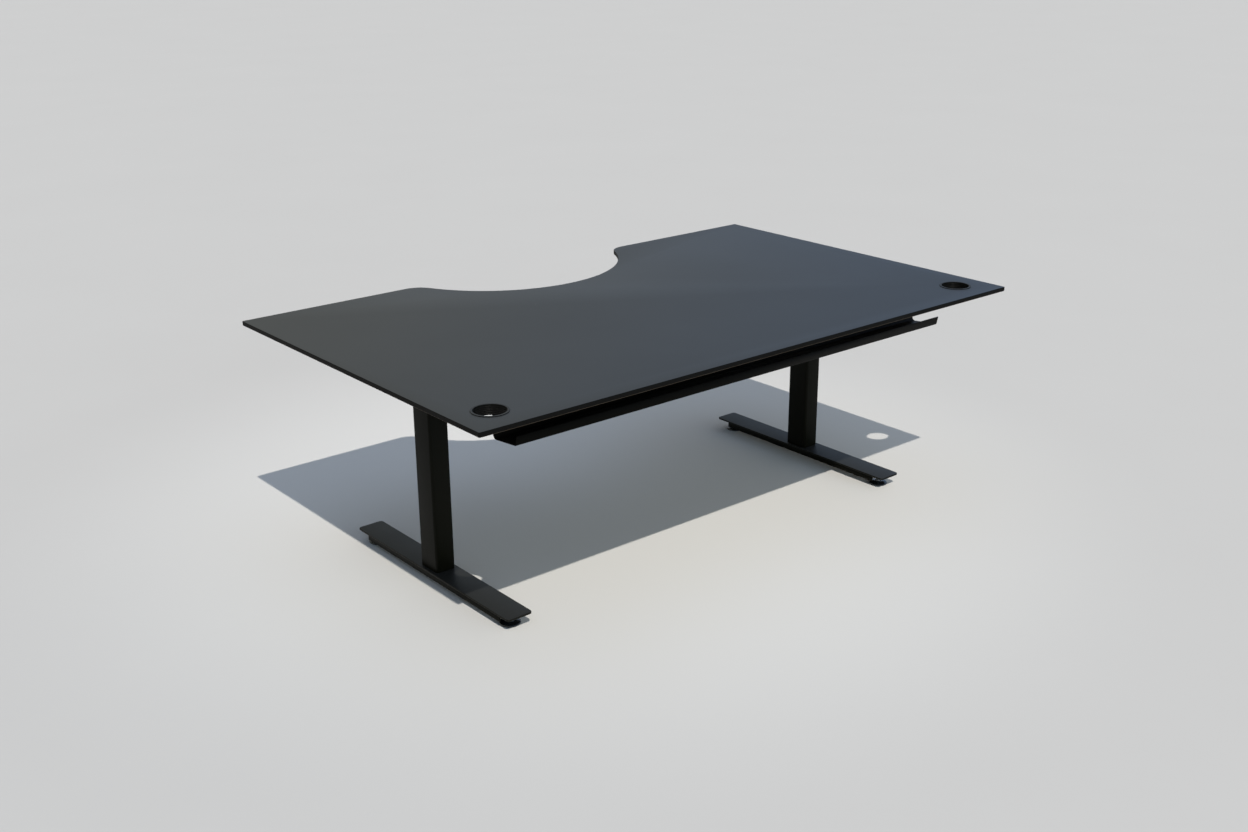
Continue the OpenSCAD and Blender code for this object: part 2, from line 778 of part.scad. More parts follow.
module foot_plate(side) {
    color([0.12, 0.12, 0.12]) at_leg(side) difference() {
        translate([0, (foot_rear - foot_front) / 2, foot_top - plate_t])
            block(foot_w, foot_front + foot_rear, plate_t, foot_r);
        translate([0, 0, foot_top - 2 * plate_t]) foot_bolt_places()
            cylinder(r = foot_bolt_r + fit_clear, h = 3 * plate_t);
    }
}

// Inverted channel welded under the plate, notched round the glides' nuts
module foot_channel(side) {
    web_z = foot_top - plate_t - channel_wall;
    color([0.12, 0.12, 0.12]) at_leg(side) difference() {
        translate([-channel_w / 2, channel_front_y, channel_z])
            cube([channel_w, channel_rear_y - channel_front_y, channel_h]);
        translate([-channel_w / 2 + channel_wall, channel_front_y - cut_over, channel_z - cut_over])
            cube([channel_w - 2 * channel_wall, channel_rear_y - channel_front_y + 2 * cut_over,
                  channel_h - channel_wall + cut_over]);
        translate([0, 0, web_z - cut_over]) foot_bolt_places()
            cylinder(r = foot_bolt_r + fit_clear, h = channel_wall + 2 * cut_over);
        for (end = [-1, 1]) translate([0, glide_y(end), web_z - cut_over])
            cylinder(r = nut_flats_r + fit_clear, h = channel_wall + 2 * cut_over);
    }
}

module foot_bolts() {
    head_z = foot_top - plate_t - channel_wall - foot_bolt_head_h;
    color("silver") at_legs() foot_bolt_places() {
        translate([0, 0, head_z]) cylinder(r = foot_bolt_head_r, h = foot_bolt_head_h, $fn = 6);
        translate([0, 0, head_z]) cylinder(r = foot_bolt_r, h = base_z - head_z);
    }
}

// Weld nuts under the plates, one for each glide
module glide_nuts() {
    color("silver") at_legs() for (end = [-1, 1])
        translate([0, glide_y(end), foot_top - plate_t - nut_h]) difference() {
            cylinder(r = nut_flats_r, h = nut_h, $fn = 6);
            translate([0, 0, -cut_over]) cylinder(r = stud_d / 2 + turn_clear, h = nut_h + 2 * cut_over);
        }
}

module at_glide(side, end) {
    at_leg(side) translate([0, glide_y(end), 0]) children();
}

// Moulded pad: a broad rim on the floor and a hub that grips the stud
module glide_pad(side, end) {
    rim_r = pad_d / 2;
    hub_r = stud_d / 2 + hub_wall;
    hub_z = pad_h + hub_rise;
    color([0.1, 0.1, 0.1]) at_glide(side, end) rotate_extrude() polygon([
        [0, 0], [rim_r - pad_chamfer, 0], [rim_r, pad_chamfer],
        [rim_r, pad_h - pad_chamfer], [rim_r - pad_chamfer, pad_h],
        [hub_r + hub_rise, pad_h + 1], [hub_r, hub_z - 1], [hub_r, hub_z], [stud_d / 2, hub_z],
        [stud_d / 2, stud_seat_z], [0, stud_seat_z],
    ]);
}

// Threaded stud with a hexagon for the spanner
module glide_stud(side, end) {
    color("silver") at_glide(side, end) {
        translate([0, 0, stud_seat_z]) cylinder(d = stud_d, h = stud_top_z - stud_seat_z);
        translate([0, 0, pad_h + hub_rise]) cylinder(r = stud_d / 2 + 3, h = wrench_h, $fn = 6);
    }
}

// ------------------------------------------------------------------ nodes

tabletop();
port(-1);  // port_left
port(1);  // port_right
tabletop_screws();
side_arm(-1);  // side_arm_left
side_arm(1);  // side_arm_right
cross_beam(-1);  // cross_beam_front
cross_beam(1);  // cross_beam_rear
frame_bolts();
cable_tray();
accessory_screws();
control_box();
mains_inlet();
handset();
button(-1);  // button_up
button(1);  // button_down
gear_housing(-1);  // gear_housing_left
gear_housing(1);  // gear_housing_right
motor(-1);  // motor_left
motor(1);  // motor_right
inner_tube(-1);  // inner_tube_left
inner_tube(1);  // inner_tube_right
inner_nut(-1);  // inner_nut_left
inner_nut(1);  // inner_nut_right
drive_tube(-1);  // drive_tube_left
drive_tube(1);  // drive_tube_right
middle_tube(-1);  // middle_tube_left
middle_tube(1);  // middle_tube_right
middle_guide(-1);  // middle_guide_left
middle_guide(1);  // middle_guide_right
middle_shoe(-1);  // middle_shoe_left
middle_shoe(1);  // middle_shoe_right
middle_plate(-1);  // middle_plate_left
middle_plate(1);  // middle_plate_right
hollow_screw(-1);  // hollow_screw_left
hollow_screw(1);  // hollow_screw_right
outer_tube(-1);  // outer_tube_left
outer_tube(1);  // outer_tube_right
outer_guide(-1);  // outer_guide_left
outer_guide(1);  // outer_guide_right
fixed_screw(-1);  // fixed_screw_left
fixed_screw(1);  // fixed_screw_right
column_base(-1);  // column_base_left
column_base(1);  // column_base_right
foot_plate(-1);  // foot_plate_left
foot_plate(1);  // foot_plate_right
foot_channel(-1);  // foot_channel_left
foot_channel(1);  // foot_channel_right
foot_bolts();
glide_nuts();
glide_pad(-1, -1);  // glide_pad_front_left
glide_pad(-1, 1);  // glide_pad_rear_left
glide_pad(1, -1);  // glide_pad_front_right
glide_pad(1, 1);  // glide_pad_rear_right
glide_stud(-1, -1);  // glide_stud_front_left
glide_stud(-1, 1);  // glide_stud_rear_left
glide_stud(1, -1);  // glide_stud_front_right
glide_stud(1, 1);  // glide_stud_rear_right
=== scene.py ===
import math
import bpy
import numpy as np
from mathutils import Matrix, Vector
from mathutils.geometry import tessellate_polygon


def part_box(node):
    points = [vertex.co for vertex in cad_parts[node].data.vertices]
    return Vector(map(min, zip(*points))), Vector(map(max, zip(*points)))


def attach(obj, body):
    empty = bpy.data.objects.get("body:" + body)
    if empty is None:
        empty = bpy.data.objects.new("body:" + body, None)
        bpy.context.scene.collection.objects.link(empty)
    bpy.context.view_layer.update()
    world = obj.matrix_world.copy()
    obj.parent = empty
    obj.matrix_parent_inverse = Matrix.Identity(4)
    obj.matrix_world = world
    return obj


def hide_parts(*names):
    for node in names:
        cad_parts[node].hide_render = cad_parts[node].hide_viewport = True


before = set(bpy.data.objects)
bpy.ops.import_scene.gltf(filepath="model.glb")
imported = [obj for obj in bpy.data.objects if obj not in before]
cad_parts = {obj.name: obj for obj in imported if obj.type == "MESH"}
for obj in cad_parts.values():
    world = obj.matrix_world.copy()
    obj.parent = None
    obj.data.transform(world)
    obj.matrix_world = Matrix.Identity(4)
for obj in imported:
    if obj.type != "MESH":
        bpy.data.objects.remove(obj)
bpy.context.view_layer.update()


# ---------------- the camera
# A person standing behind the desk, to the right of its rear corner, looks
# down over the worktop with a standard lens.

target = Vector((0.6057, 0.6671, 0.6150))
distance = 3.0506
azimuth, elevation, roll = (math.radians(angle) for angle in (140.235, 19.994, -0.32))

away = Vector((math.sin(azimuth) * math.cos(elevation),
               -math.cos(azimuth) * math.cos(elevation), math.sin(elevation)))
level = Vector((0, 0, 1)).cross(away).normalized()
upright = away.cross(level)
across = math.cos(roll) * level + math.sin(roll) * upright
upwards = math.cos(roll) * upright - math.sin(roll) * level

scene = bpy.context.scene
camera_data = bpy.data.cameras.new("camera")
camera_data.sensor_width = 36
camera_data.lens = 41.12
camera_data.clip_end = 300
camera = bpy.data.objects.new("camera", camera_data)
camera.matrix_world = Matrix.Translation(target + distance * away) @ Matrix(
    (across, upwards, away)).transposed().to_4x4()
scene.collection.objects.link(camera)
scene.camera = camera


# ---------------- the floor and light
# A seamless pale floor in the open air. The sun is high behind the camera and
# casts hard shadows, which the pale sky fills with a cooler light.

def linear(colour):
    """The scene-linear RGBA of an sRGB hex colour, by the sRGB curve."""
    values = np.array([int(colour[i:i + 2], 16) for i in (1, 3, 5)]) / 255
    values = np.where(values <= 0.04045, values / 12.92, ((values + 0.055) / 1.055) ** 2.4)
    return (*values, 1)


def node(tree, kind, settings=None, **links):
    """Adds a shader node of a kind, or takes the node given in its place. A setting or link named
    after a socket goes there, by name or by number. A hex colour is made linear, and a link from
    a node is from its first output in use."""
    made = tree.nodes.new("ShaderNode" + kind) if isinstance(kind, str) else kind
    for key, value in (settings or {}).items():
        if isinstance(value, str) and value[0] == "#":
            value = linear(value)
        if isinstance(key, int) or key in made.inputs:
            made.inputs[key].default_value = value
        else:
            setattr(made, key, value)
    for key, source in links.items():
        key = int(key[1:]) if key[0] == "_" and key[1:].isdigit() else key.replace("_", " ")
        if isinstance(source, bpy.types.Node):
            source = next(socket for socket in source.outputs if socket.enabled)
        tree.links.new(source, made.inputs[key])
    return made


world = bpy.data.worlds.new("open_sky")
scene.world = world
world.use_nodes = True
sky = world.node_tree
sky.nodes.clear()
heading = node(sky, "TexCoord").outputs["Generated"]

# The zenith is a deep blue. The low air is brighter, warm over the desk's left
# end and pale blue behind it, where the light comes under the worktop.
rise = node(sky, "SeparateXYZ", Vector=heading)
height = node(sky, "Math", {"operation": "MAXIMUM", 1: 0}, _0=rise.outputs["Z"])
lowness = node(sky, "Math", {"operation": "SUBTRACT", 0: 1}, _1=height)
haze = node(sky, "Math", {"operation": "POWER", 1: 2}, _0=lowness)
depth_of_air = node(sky, "Math", {"operation": "POWER", 1: 3}, _0=height)
zenith = node(sky, "Background", {"Color": (0.54, 0.66, 0.87, 1)}, Strength=depth_of_air)
glows = []
for direction, glow in (((-1, 0, 0), (2.84, 2.54, 2.08, 1)), ((0, 1, 0), (3.35, 4.05, 4.45, 1))):
    along = node(sky, "VectorMath", {"operation": "DOT_PRODUCT", 1: direction}, _0=heading)
    ahead = node(sky, "Math", {"operation": "MAXIMUM", 1: 0}, _0=along)
    narrowed = node(sky, "Math", {"operation": "POWER", 1: 2}, _0=ahead)
    strength = node(sky, "Math", {"operation": "MULTIPLY"}, _0=narrowed, _1=haze)
    glows.append(node(sky, "Background", {"Color": glow}, Strength=strength))
low_air = node(sky, "AddShader", _0=glows[0], _1=glows[1])
daylight = node(sky, "AddShader", _0=zenith, _1=low_air)

# What the camera sees past the floor has the floor's colour. Glossy faces see
# the same lightness, which turns from neutral to blue from one side to the other.
rays = node(sky, "LightPath")
mirrored = node(sky, "Math", {"operation": "MAXIMUM"},
                _0=rays.outputs["Is Glossy Ray"], _1=rays.outputs["Is Transmission Ray"])
shown = node(sky, "Math", {"operation": "MAXIMUM"}, _0=rays.outputs["Is Camera Ray"], _1=mirrored)
side_ways = node(sky, "VectorMath", {"operation": "DOT_PRODUCT", 1: (-0.768, 0.640, 0)}, _0=heading)
turn_blue = node(sky, "MapRange", {1: -0.3, 2: 0.3}, Value=side_ways)
tint = node(sky, "Mix", {"data_type": "RGBA", 6: (0.59, 0.61, 0.57, 1), 7: (0.33, 0.47, 0.71, 1)},
            Factor=turn_blue)
backdrop = node(sky, "Mix", {"data_type": "RGBA", 6: "#d1d2d2"}, Factor=mirrored, _7=tint)
backdrop_light = node(sky, "Background", Color=backdrop)
air = node(sky, "MixShader", _0=shown, _1=daylight, _2=backdrop_light)
node(sky, "OutputWorld", Surface=air)

sun_travel = Vector((-0.294, -0.654, -1.0))
sun_data = bpy.data.lights.new("sun", "SUN")
sun_data.color = (1.0, 0.94, 0.845)
sun_data.energy = 2.68
sun_data.angle = math.radians(0.6)
sun = bpy.data.objects.new("sun", sun_data)
sun.matrix_world = sun_travel.to_track_quat("-Z", "Y").to_matrix().to_4x4()
scene.collection.objects.link(sun)

floor_paint = bpy.data.materials.new("pale_floor")
floor_paint.use_nodes = True
tree = floor_paint.node_tree
tree.nodes.clear()
place = node(tree, "TexCoord").outputs["Object"]
cloud = node(tree, "TexNoise", {"Scale": 1.3, "Detail": 5.0, "Roughness": 0.6}, Vector=place)
# Painted light: the floor is painted paler round the desk and duller further out, standing in for brighter
# light near the desk.
far_out = node(tree, "VectorMath", {"operation": "DISTANCE", 1: (0.04, -0.23, 0)}, _0=place)
painted_light_near_desk = node(tree, "MapRange", {"interpolation_type": "SMOOTHSTEP", 1: 0.4, 2: 1.8}, Value=far_out)
uneven = node(tree, "Mix", {"data_type": "RGBA", 6: "#c3c2c1", 7: "#c6c5c4"}, Factor=cloud)
shade = node(tree, "Mix", {"data_type": "RGBA", 6: "#dadad9"}, Factor=painted_light_near_desk, _7=uneven)
matt = node(tree, "BsdfDiffuse", Color=shade)
node(tree, "OutputMaterial", Surface=matt)

floor_reach = 90.0
corners = np.array([(-1, -1), (1, -1), (1, 1), (-1, 1)]) * floor_reach
floor_mesh = bpy.data.meshes.new("floor")
floor_mesh.from_pydata([(x, y, -0.0004) for x, y in corners], [], [(0, 1, 2, 3)])
floor_mesh.materials.append(floor_paint)
floor = bpy.data.objects.new("floor", floor_mesh)
scene.collection.objects.link(floor)
scene.view_settings.view_transform = "Standard"


# ---------------- the worktop
# One board of compact laminate, a stack of resin-soaked paper pressed hard
# between two matt decor sheets. It is cut on a router, its upper arris is
# rounded and its lower one bevelled, and it is screwed down on the side arms.

def arc(centre, radius, start, stop, steps=16):
    """Points on an arc about a centre, from one angle to another, in degrees."""
    angle = np.radians(np.linspace(start, stop, steps + 1))
    return np.stack([centre[0] + radius * np.cos(angle), centre[1] + radius * np.sin(angle)], 1)


def inset(outline, amount):
    """A closed outline moved inwards: each point goes along the mean of its two edges' normals,
    further where they part, so that both edges move by the amount."""
    before = outline - np.roll(outline, 1, axis=0)
    after = np.roll(outline, -1, axis=0) - outline
    before, after = (e / np.linalg.norm(e, axis=1, keepdims=True) for e in (before, after))
    inner = np.stack([-(before + after)[:, 1], (before + after)[:, 0]], 1)
    return outline + amount * inner * (2 / np.maximum((inner ** 2).sum(1), 0.4))[:, None]


def ring_faces(rows, columns, closed_rows=False, start=0):
    """The quads between rows of points, each row a closed loop, counted along the rows."""
    r = np.arange(rows if closed_rows else rows - 1)[:, None]
    c = np.arange(columns)[None, :]
    here, up = r * columns, (r + 1) % rows * columns
    side = (c + 1) % columns
    quads = np.stack([here + c, here + side, up + side, up + c], -1).reshape(-1, 4) + start
    return quads


def cap(loops, starts, upwards):
    """Triangles that fill a flat outline with holes. loops are its closed loops, the outline
    first, and starts their first points' numbers in the mesh."""
    number = np.concatenate([np.arange(len(loop)) + start for loop, start in zip(loops, starts)])
    flat = [[Vector((x, y, 0)) for x, y in loop] for loop in loops]
    points = np.concatenate(loops)
    triangles = np.array(tessellate_polygon(flat))
    a, b, c = (points[triangles[:, i]] for i in range(3))
    area = (b - a)[:, 0] * (c - a)[:, 1] - (b - a)[:, 1] * (c - a)[:, 0]
    triangles = np.where(((area > 0) == upwards)[:, None], triangles, triangles[:, ::-1])
    return number[triangles[np.abs(area) > 1e-12]]


def plate(outline, profile, holes=()):
    """A flat plate as points and faces: its edge carries the profile, pairs of (inset, height)
    from the bottom up, round the outline, and its holes have straight walls."""
    count = len(outline)
    points = [np.column_stack([inset(outline, i), np.full(count, z)]) for i, z in profile]
    faces = ring_faces(len(profile), count).tolist()
    start = len(profile) * count
    bottom, top = profile[0][1], profile[-1][1]
    low_starts, high_starts = [0], [start - count]
    for hole in holes:
        points += [np.column_stack([hole, np.full(len(hole), z)]) for z in (bottom, top)]
        faces += ring_faces(2, len(hole), start=start)[:, ::-1].tolist()
        low_starts.append(start)
        high_starts.append(start + len(hole))
        start += 2 * len(hole)
    holes = list(holes)
    faces += cap([inset(outline, profile[0][0]), *holes], low_starts, False).tolist()
    faces += cap([inset(outline, profile[-1][0]), *holes], high_starts, True).tolist()
    return np.concatenate(points), faces


def piece(name, shapes, skin, body, smooth=35):
    """Makes one piece of one or more (points, faces) shapes. Edges sharper than smooth degrees
    stay sharp."""
    mesh = bpy.data.meshes.new(name)
    points, faces, start = [], [], 0
    for shape_points, shape_faces in shapes:
        points.append(np.asarray(shape_points, float))
        faces += [[index + start for index in face] for face in shape_faces]
        start += len(shape_points)
    mesh.from_pydata(np.concatenate(points).tolist(), [], faces)
    mesh.shade_smooth()
    mesh.set_sharp_from_angle(angle=math.radians(smooth))
    mesh.materials.append(skin)
    made = bpy.data.objects.new(name, mesh)
    scene.collection.objects.link(made)
    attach(made, body)
    return made


def rounded(bottom, top, low_round, high_round, steps=5):
    """An edge profile from a bottom to a top height, with rounded arrises."""
    t = np.radians(np.linspace(0, 90, steps + 1))
    lower = np.stack([low_round * (1 - np.sin(t)), bottom + low_round * (1 - np.cos(t))], 1)
    upper = np.stack([high_round * (1 - np.cos(t)), top - high_round * (1 - np.sin(t))], 1)
    return np.concatenate([lower, upper])


top_low, top_high = np.array(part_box("tabletop"))
corner_r, cut_r, cut_blend_r, cut_depth = 0.004, 0.375, 0.066, 0.254
front = top_low[1]
cut_centre = np.array([0, front + cut_depth - cut_r])
blend_y = front + cut_blend_r
blend_x = math.sqrt((cut_r + cut_blend_r) ** 2 - (blend_y - cut_centre[1]) ** 2)
lean = math.degrees(math.atan2(blend_y - cut_centre[1], blend_x))
half_w, half_d = top_high[0], top_high[1]
board_outline = np.concatenate([
    arc((-half_w + corner_r, front + corner_r), corner_r, 180, 270),
    arc((-blend_x, blend_y), cut_blend_r, 270, 360 - lean, 24),
    arc(cut_centre, cut_r, 180 - lean, lean, 96)[1:-1],
    arc((blend_x, blend_y), cut_blend_r, 180 + lean, 270, 24),
    arc((half_w - corner_r, front + corner_r), corner_r, 270, 360),
    arc((half_w - corner_r, half_d - corner_r), corner_r, 0, 90),
    arc((-half_w + corner_r, half_d - corner_r), corner_r, 90, 180),
])

port_bore_r, port_wall, port_flange_r = 0.038, 0.002, 0.044
port_low, port_high = np.array(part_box("port_right"))
port_centre = (port_low + port_high) / 2
port_holes = [arc((side * port_centre[0], port_centre[1]), port_bore_r + port_wall, 0, 360, 96)[:-1]
              for side in (-1, 1)]
arris, bevel = 0.0010, 0.0020
board_profile = np.concatenate([
    [(bevel, top_low[2]), (0, top_low[2] + bevel)],
    rounded(top_low[2], top_high[2], 0, arris)[6:],
])


def plain(name, settings):
    """A new material with settings on its shader. Gives the material, its node tree, the shader
    and the object's own coordinates."""
    made = bpy.data.materials.new(name)
    made.use_nodes = True
    tree = made.node_tree
    shader = node(tree, tree.nodes["Principled BSDF"], settings)
    return made, tree, shader, node(tree, "TexCoord").outputs["Object"]


# Super-matt laminate: black decor paper under a resin that is cured against a
# fine suede plate. It gives a soft sheen that turns pale at a low angle, a
# barely seen mottle where hands have wiped it, and a few specks of dust.
laminate, tree, shader, place = plain("matt_compact_laminate", {})
wiped = node(tree, "TexNoise", {"Scale": 2.2, "Detail": 4.0, "Roughness": 0.55}, Vector=place)
colour = node(tree, "Mix", {"data_type": "RGBA", 6: "#121313", 7: "#161717"}, Factor=wiped)
dust_cells = node(tree, "TexVoronoi", {"Scale": 14.0}, Vector=place)
dust_size = node(tree, "Math", {"operation": "LESS_THAN", 1: 0.011}, _0=dust_cells)
split = node(tree, "SeparateColor", Color=dust_cells.outputs["Color"])
dust_few = node(tree, "Math", {"operation": "GREATER_THAN", 1: 0.955}, _0=split)
dust = node(tree, "Math", {"operation": "MULTIPLY"}, _0=dust_size, _1=dust_few)
dusty = node(tree, "Mix", {"data_type": "RGBA", 7: "#8d9296"}, Factor=dust, _6=colour)
gloss = node(tree, "MapRange", {3: 0.40, 4: 0.47}, Value=wiped)
suede = node(tree, "TexNoise", {"Scale": 900.0, "Detail": 2.0}, Vector=place)
relief = node(tree, "Bump", {"Strength": 0.12, "Distance": 0.0001}, Height=suede)
node(tree, shader, Base_Color=dusty, Roughness=gloss, Normal=relief)

# The routed edge shows the black core, waxed and almost without gloss. Faces that look down, such as the
# lower bevel, are painted brown: painted warm light bounced up from the floor below.
core, tree, shader, place = plain("routed_laminate_core", {"Roughness": 0.55, "Specular IOR Level": 0.08})
layers = node(tree, "TexNoise", {"Scale": 260.0, "Detail": 3.0}, Vector=place)
colour = node(tree, "Mix", {"data_type": "RGBA", 6: "#040403", 7: "#0b0a08"}, Factor=layers)
facing = node(tree, "SeparateXYZ", Vector=node(tree, "NewGeometry").outputs["Normal"])
painted_bounce_mask = node(tree, "MapRange", {1: -0.2, 2: -0.6, 3: 0.0, 4: 1.0}, Value=facing.outputs["Z"])
core_with_painted_bounce = node(tree, "Mix", {"data_type": "RGBA", 7: "#33291c"}, Factor=painted_bounce_mask, _6=colour)
node(tree, shader, Base_Color=core_with_painted_bounce)

board = plate(board_outline, board_profile, port_holes)
worktop = piece("worktop_board", [board], laminate, "lift")
worktop.data.materials.append(core)
for face in worktop.data.polygons:
    face.material_index = int(abs(face.normal.z) < 0.99)
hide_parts("tabletop")


# ---------------- the cable ports
# A moulded black ring lines each cable hole: a thin flange with a softened rim
# lies on the worktop, and a sleeve with a few fine ribs goes through it.

def closed_ends(points, faces, rows, steps, ends):
    """Rows of points with a point added at either end and the triangles that fan out from it."""
    first = len(points)
    here = np.arange(steps)
    beside = (here + 1) % steps
    top = (rows - 1) * steps
    faces += np.stack([beside, here, np.full(steps, first)], 1).tolist()
    faces += np.stack([top + here, top + beside, np.full(steps, first + 1)], 1).tolist()
    return np.concatenate([points, ends]), faces


def lathe(profile, centre, steps=64, closed=True):
    """A profile of (radius, height) pairs turned about an upright axis through the centre. Where
    it isn't closed on itself, its first and last points lie on the axis, at one point each."""
    profile = np.asarray(profile, float)
    turn = np.linspace(0, 2 * math.pi, steps, endpoint=False)
    body = profile if closed else profile[1:-1]
    points = np.stack([
        centre[0] + body[:, :1] * np.cos(turn), centre[1] + body[:, :1] * np.sin(turn),
        centre[2] + np.repeat(body[:, 1:], steps, 1),
    ], -1).reshape(-1, 3)
    faces = ring_faces(len(body), steps, closed_rows=closed).tolist()
    if closed:
        return points, faces
    ends = [(centre[0], centre[1], centre[2] + z) for z in (profile[0, 1], profile[-1, 1])]
    return closed_ends(points, faces, len(body), steps, ends)


# Polypropylene from a spark-eroded mould: a fine dull grain. Faces that look up, the flange, are painted
# paler than the deep black of the sleeve: painted light from the sky.
port_plastic, tree, shader, place = plain("moulded_polypropylene",
                                          {"Roughness": 0.45, "Specular IOR Level": 0.10})
spark = node(tree, "TexNoise", {"Scale": 1200.0, "Detail": 1.0}, Vector=place)
facing = node(tree, "SeparateXYZ", Vector=node(tree, "NewGeometry").outputs["Normal"])
painted_skylight_mask = node(tree, "MapRange", {1: 0.5, 2: 0.95, 3: 0.0, 4: 1.0}, Value=facing.outputs["Z"])
colour = node(tree, "Mix", {"data_type": "RGBA", 6: "#040403", 7: "#2b2c2d"}, Factor=painted_skylight_mask)
relief = node(tree, "Bump", {"Strength": 0.1, "Distance": 0.0001}, Height=spark)
node(tree, shader, Base_Color=colour, Normal=relief)

foot = port_low[2] - 0.0025
rim = port_high[2]
board_top = top_high[2]
sleeve_r = port_bore_r + port_wall
rib_root_r = port_bore_r + 0.0003
outer_round, inner_round = 0.0009, 0.0012
rib_heights = np.linspace(foot + 0.003, rim - 0.006, 5)
ribs = np.concatenate([
    [(rib_root_r, z - 0.0008), (port_bore_r, z - 0.0004), (port_bore_r, z + 0.0004), (rib_root_r, z + 0.0008)]
    for z in rib_heights])[::-1]
ring_profile = np.concatenate([
    [(rib_root_r, foot), (sleeve_r, foot), (sleeve_r, board_top), (port_flange_r, board_top)],
    arc((port_flange_r - outer_round, rim - outer_round), outer_round, 0, 90, 5),
    arc((port_bore_r + inner_round, rim - inner_round), inner_round, 90, 180, 5),
    ribs,
])
for side, name in ((-1, "left"), (1, "right")):
    sleeve = lathe(ring_profile, (side * port_centre[0], port_centre[1], 0), 96)
    ring = piece(f"cable_port_ring_{name}", [sleeve], port_plastic, "lift")
    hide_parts(f"port_{name}")


# ---------------- the cable tray
# A long trough of 1.5 mm steel sheet, cut with its slots, folded three times on a
# press brake and powder coated. It hangs by its flange from screws in the worktop,
# its floor falls a little towards the user, and its ends stay open.

tray_low, tray_high = np.array(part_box("cable_tray"))
sheet_t, bend_r = 0.0015, 0.0022
tray_lip, tray_lean, tray_flange, tray_slots, slot_rise = 0.024, 0.005, 0.024, 10, 0.038
tray_fall, wide_bend = 0.008, 0.010
wall_y = tray_low[1] + tray_flange + sheet_t / 2
floor_z = tray_low[2] + sheet_t / 2
lip_y = tray_high[1] - tray_lean - sheet_t / 2
flange_z = tray_high[2] - sheet_t / 2
fold_line = np.array([
    (lip_y + tray_lean, tray_low[2] + tray_lip), (lip_y, floor_z), (wall_y, floor_z - tray_fall),
    (wall_y, flange_z), (tray_low[1], flange_z),
])


def rounded_path(path, radii, steps=4):
    """An open path with each inner corner turned into an arc that touches both of its sides."""
    points = [path[:1]]
    for before, corner, after, radius in zip(path[:-2], path[1:-1], path[2:], radii):
        a, b = ((p - corner) / np.linalg.norm(p - corner) for p in (before, after))
        half = math.acos(np.clip(a @ b, -1, 1)) / 2
        centre = corner + (a + b) / np.linalg.norm(a + b) * radius / math.sin(half)
        first = corner + a * radius / math.tan(half)
        last = corner + b * radius / math.tan(half)
        t = np.linspace(0, 1, steps + 1)[:, None]
        chord = first * (1 - t) + last * t - centre
        points.append(centre + chord / np.linalg.norm(chord, axis=1, keepdims=True) * radius)
    return np.concatenate(points + [path[-1:]])


def folded(path, x_low, x_high, holes):
    """A sheet folded along a path in Y and Z: a strip from x_low to x_high for each of the path's
    sides. holes gives, for a side's number, loops of (x, distance along that side)."""
    points, faces = [], []
    for number, (a, b) in enumerate(zip(path[:-1], path[1:])):
        length = np.linalg.norm(b - a)
        outline = np.array([(x_low, 0), (x_high, 0), (x_high, length), (x_low, length)])
        loops = [outline, *holes.get(number, [])]
        starts = np.cumsum([sum(map(len, points))] + [len(loop) for loop in loops[:-1]])
        flat = np.concatenate(loops)
        along = flat[:, 1:] / length
        points.append(np.column_stack([flat[:, 0], a * (1 - along) + b * along]))
        faces += cap(loops, starts, True).tolist()
    return np.concatenate(points), faces


def give_wall(made, wall, soft=0.0004):
    """Turns a surface into a sheet of an even thickness with softened edges."""
    thick = made.modifiers.new("sheet_thickness", "SOLIDIFY")
    thick.thickness = wall
    thick.offset = 0
    thick.use_even_offset = True
    if soft:
        edge = made.modifiers.new("softened_edges", "BEVEL")
        edge.width = soft
        edge.segments = 2
        edge.limit_method = "ANGLE"
        edge.angle_limit = math.radians(50)


# Polyester powder that melts and flows in the oven leaves a low orange peel, with a pitch of about 2 mm, and
# a satin gloss that breaks up over it. Faces that look up are painted paler: partly a film of dust, partly
# painted light from the sky.
powder_coat, tree, shader, place = plain("black_powder_coated_steel", {"Specular IOR Level": 0.06})
peel = node(tree, "TexNoise", {"Scale": 480.0, "Detail": 2.0, "Roughness": 0.5}, Vector=place)
drift = node(tree, "TexNoise", {"Scale": 9.0, "Detail": 3.0}, Vector=place)
colour = node(tree, "Mix", {"data_type": "RGBA", 6: "#090904", 7: "#0c0c06"}, Factor=drift)
facing = node(tree, "SeparateXYZ", Vector=node(tree, "NewGeometry").outputs["Normal"])
dust_and_sky_light_mask = node(tree, "MapRange", {1: 0.7, 2: 1.0, 3: 0.0, 4: 0.85}, Value=facing.outputs["Z"])
dust_and_painted_sky_light = node(tree, "Mix", {"data_type": "RGBA", 7: "#272828"}, Factor=dust_and_sky_light_mask, _6=colour)
gloss = node(tree, "MapRange", {3: 0.40, 4: 0.50}, Value=drift)
relief = node(tree, "Bump", {"Strength": 0.25, "Distance": 0.0002}, Height=peel)
node(tree, shader, Base_Color=dust_and_painted_sky_light, Roughness=gloss, Normal=relief)


def other_coat(name, shine):
    """The powder coat with another shine, under another name."""
    made = powder_coat.copy()
    made.name = name
    node(made.node_tree, made.node_tree.nodes["Principled BSDF"], {"Specular IOR Level": shine})
    return made


# The tray's coat is a copy of the powder coat with less gloss, painted a little browner: painted warm light
# thrown up from the floor into the shade under the worktop.
tray_coat_painted_bounce = other_coat("black_powder_coated_tray", 0.03)
tree = tray_coat_painted_bounce.node_tree
node(tree, tree.nodes[colour.name], {6: "#0d0c0a", 7: "#100f0c"})

tray_path = rounded_path(fold_line, (bend_r, wide_bend, bend_r))
wall_side = 10
slot_pitch = (tray_high[0] - tray_low[0]) / (tray_slots + 1)
slot_l, slot_h = 0.034, 0.007
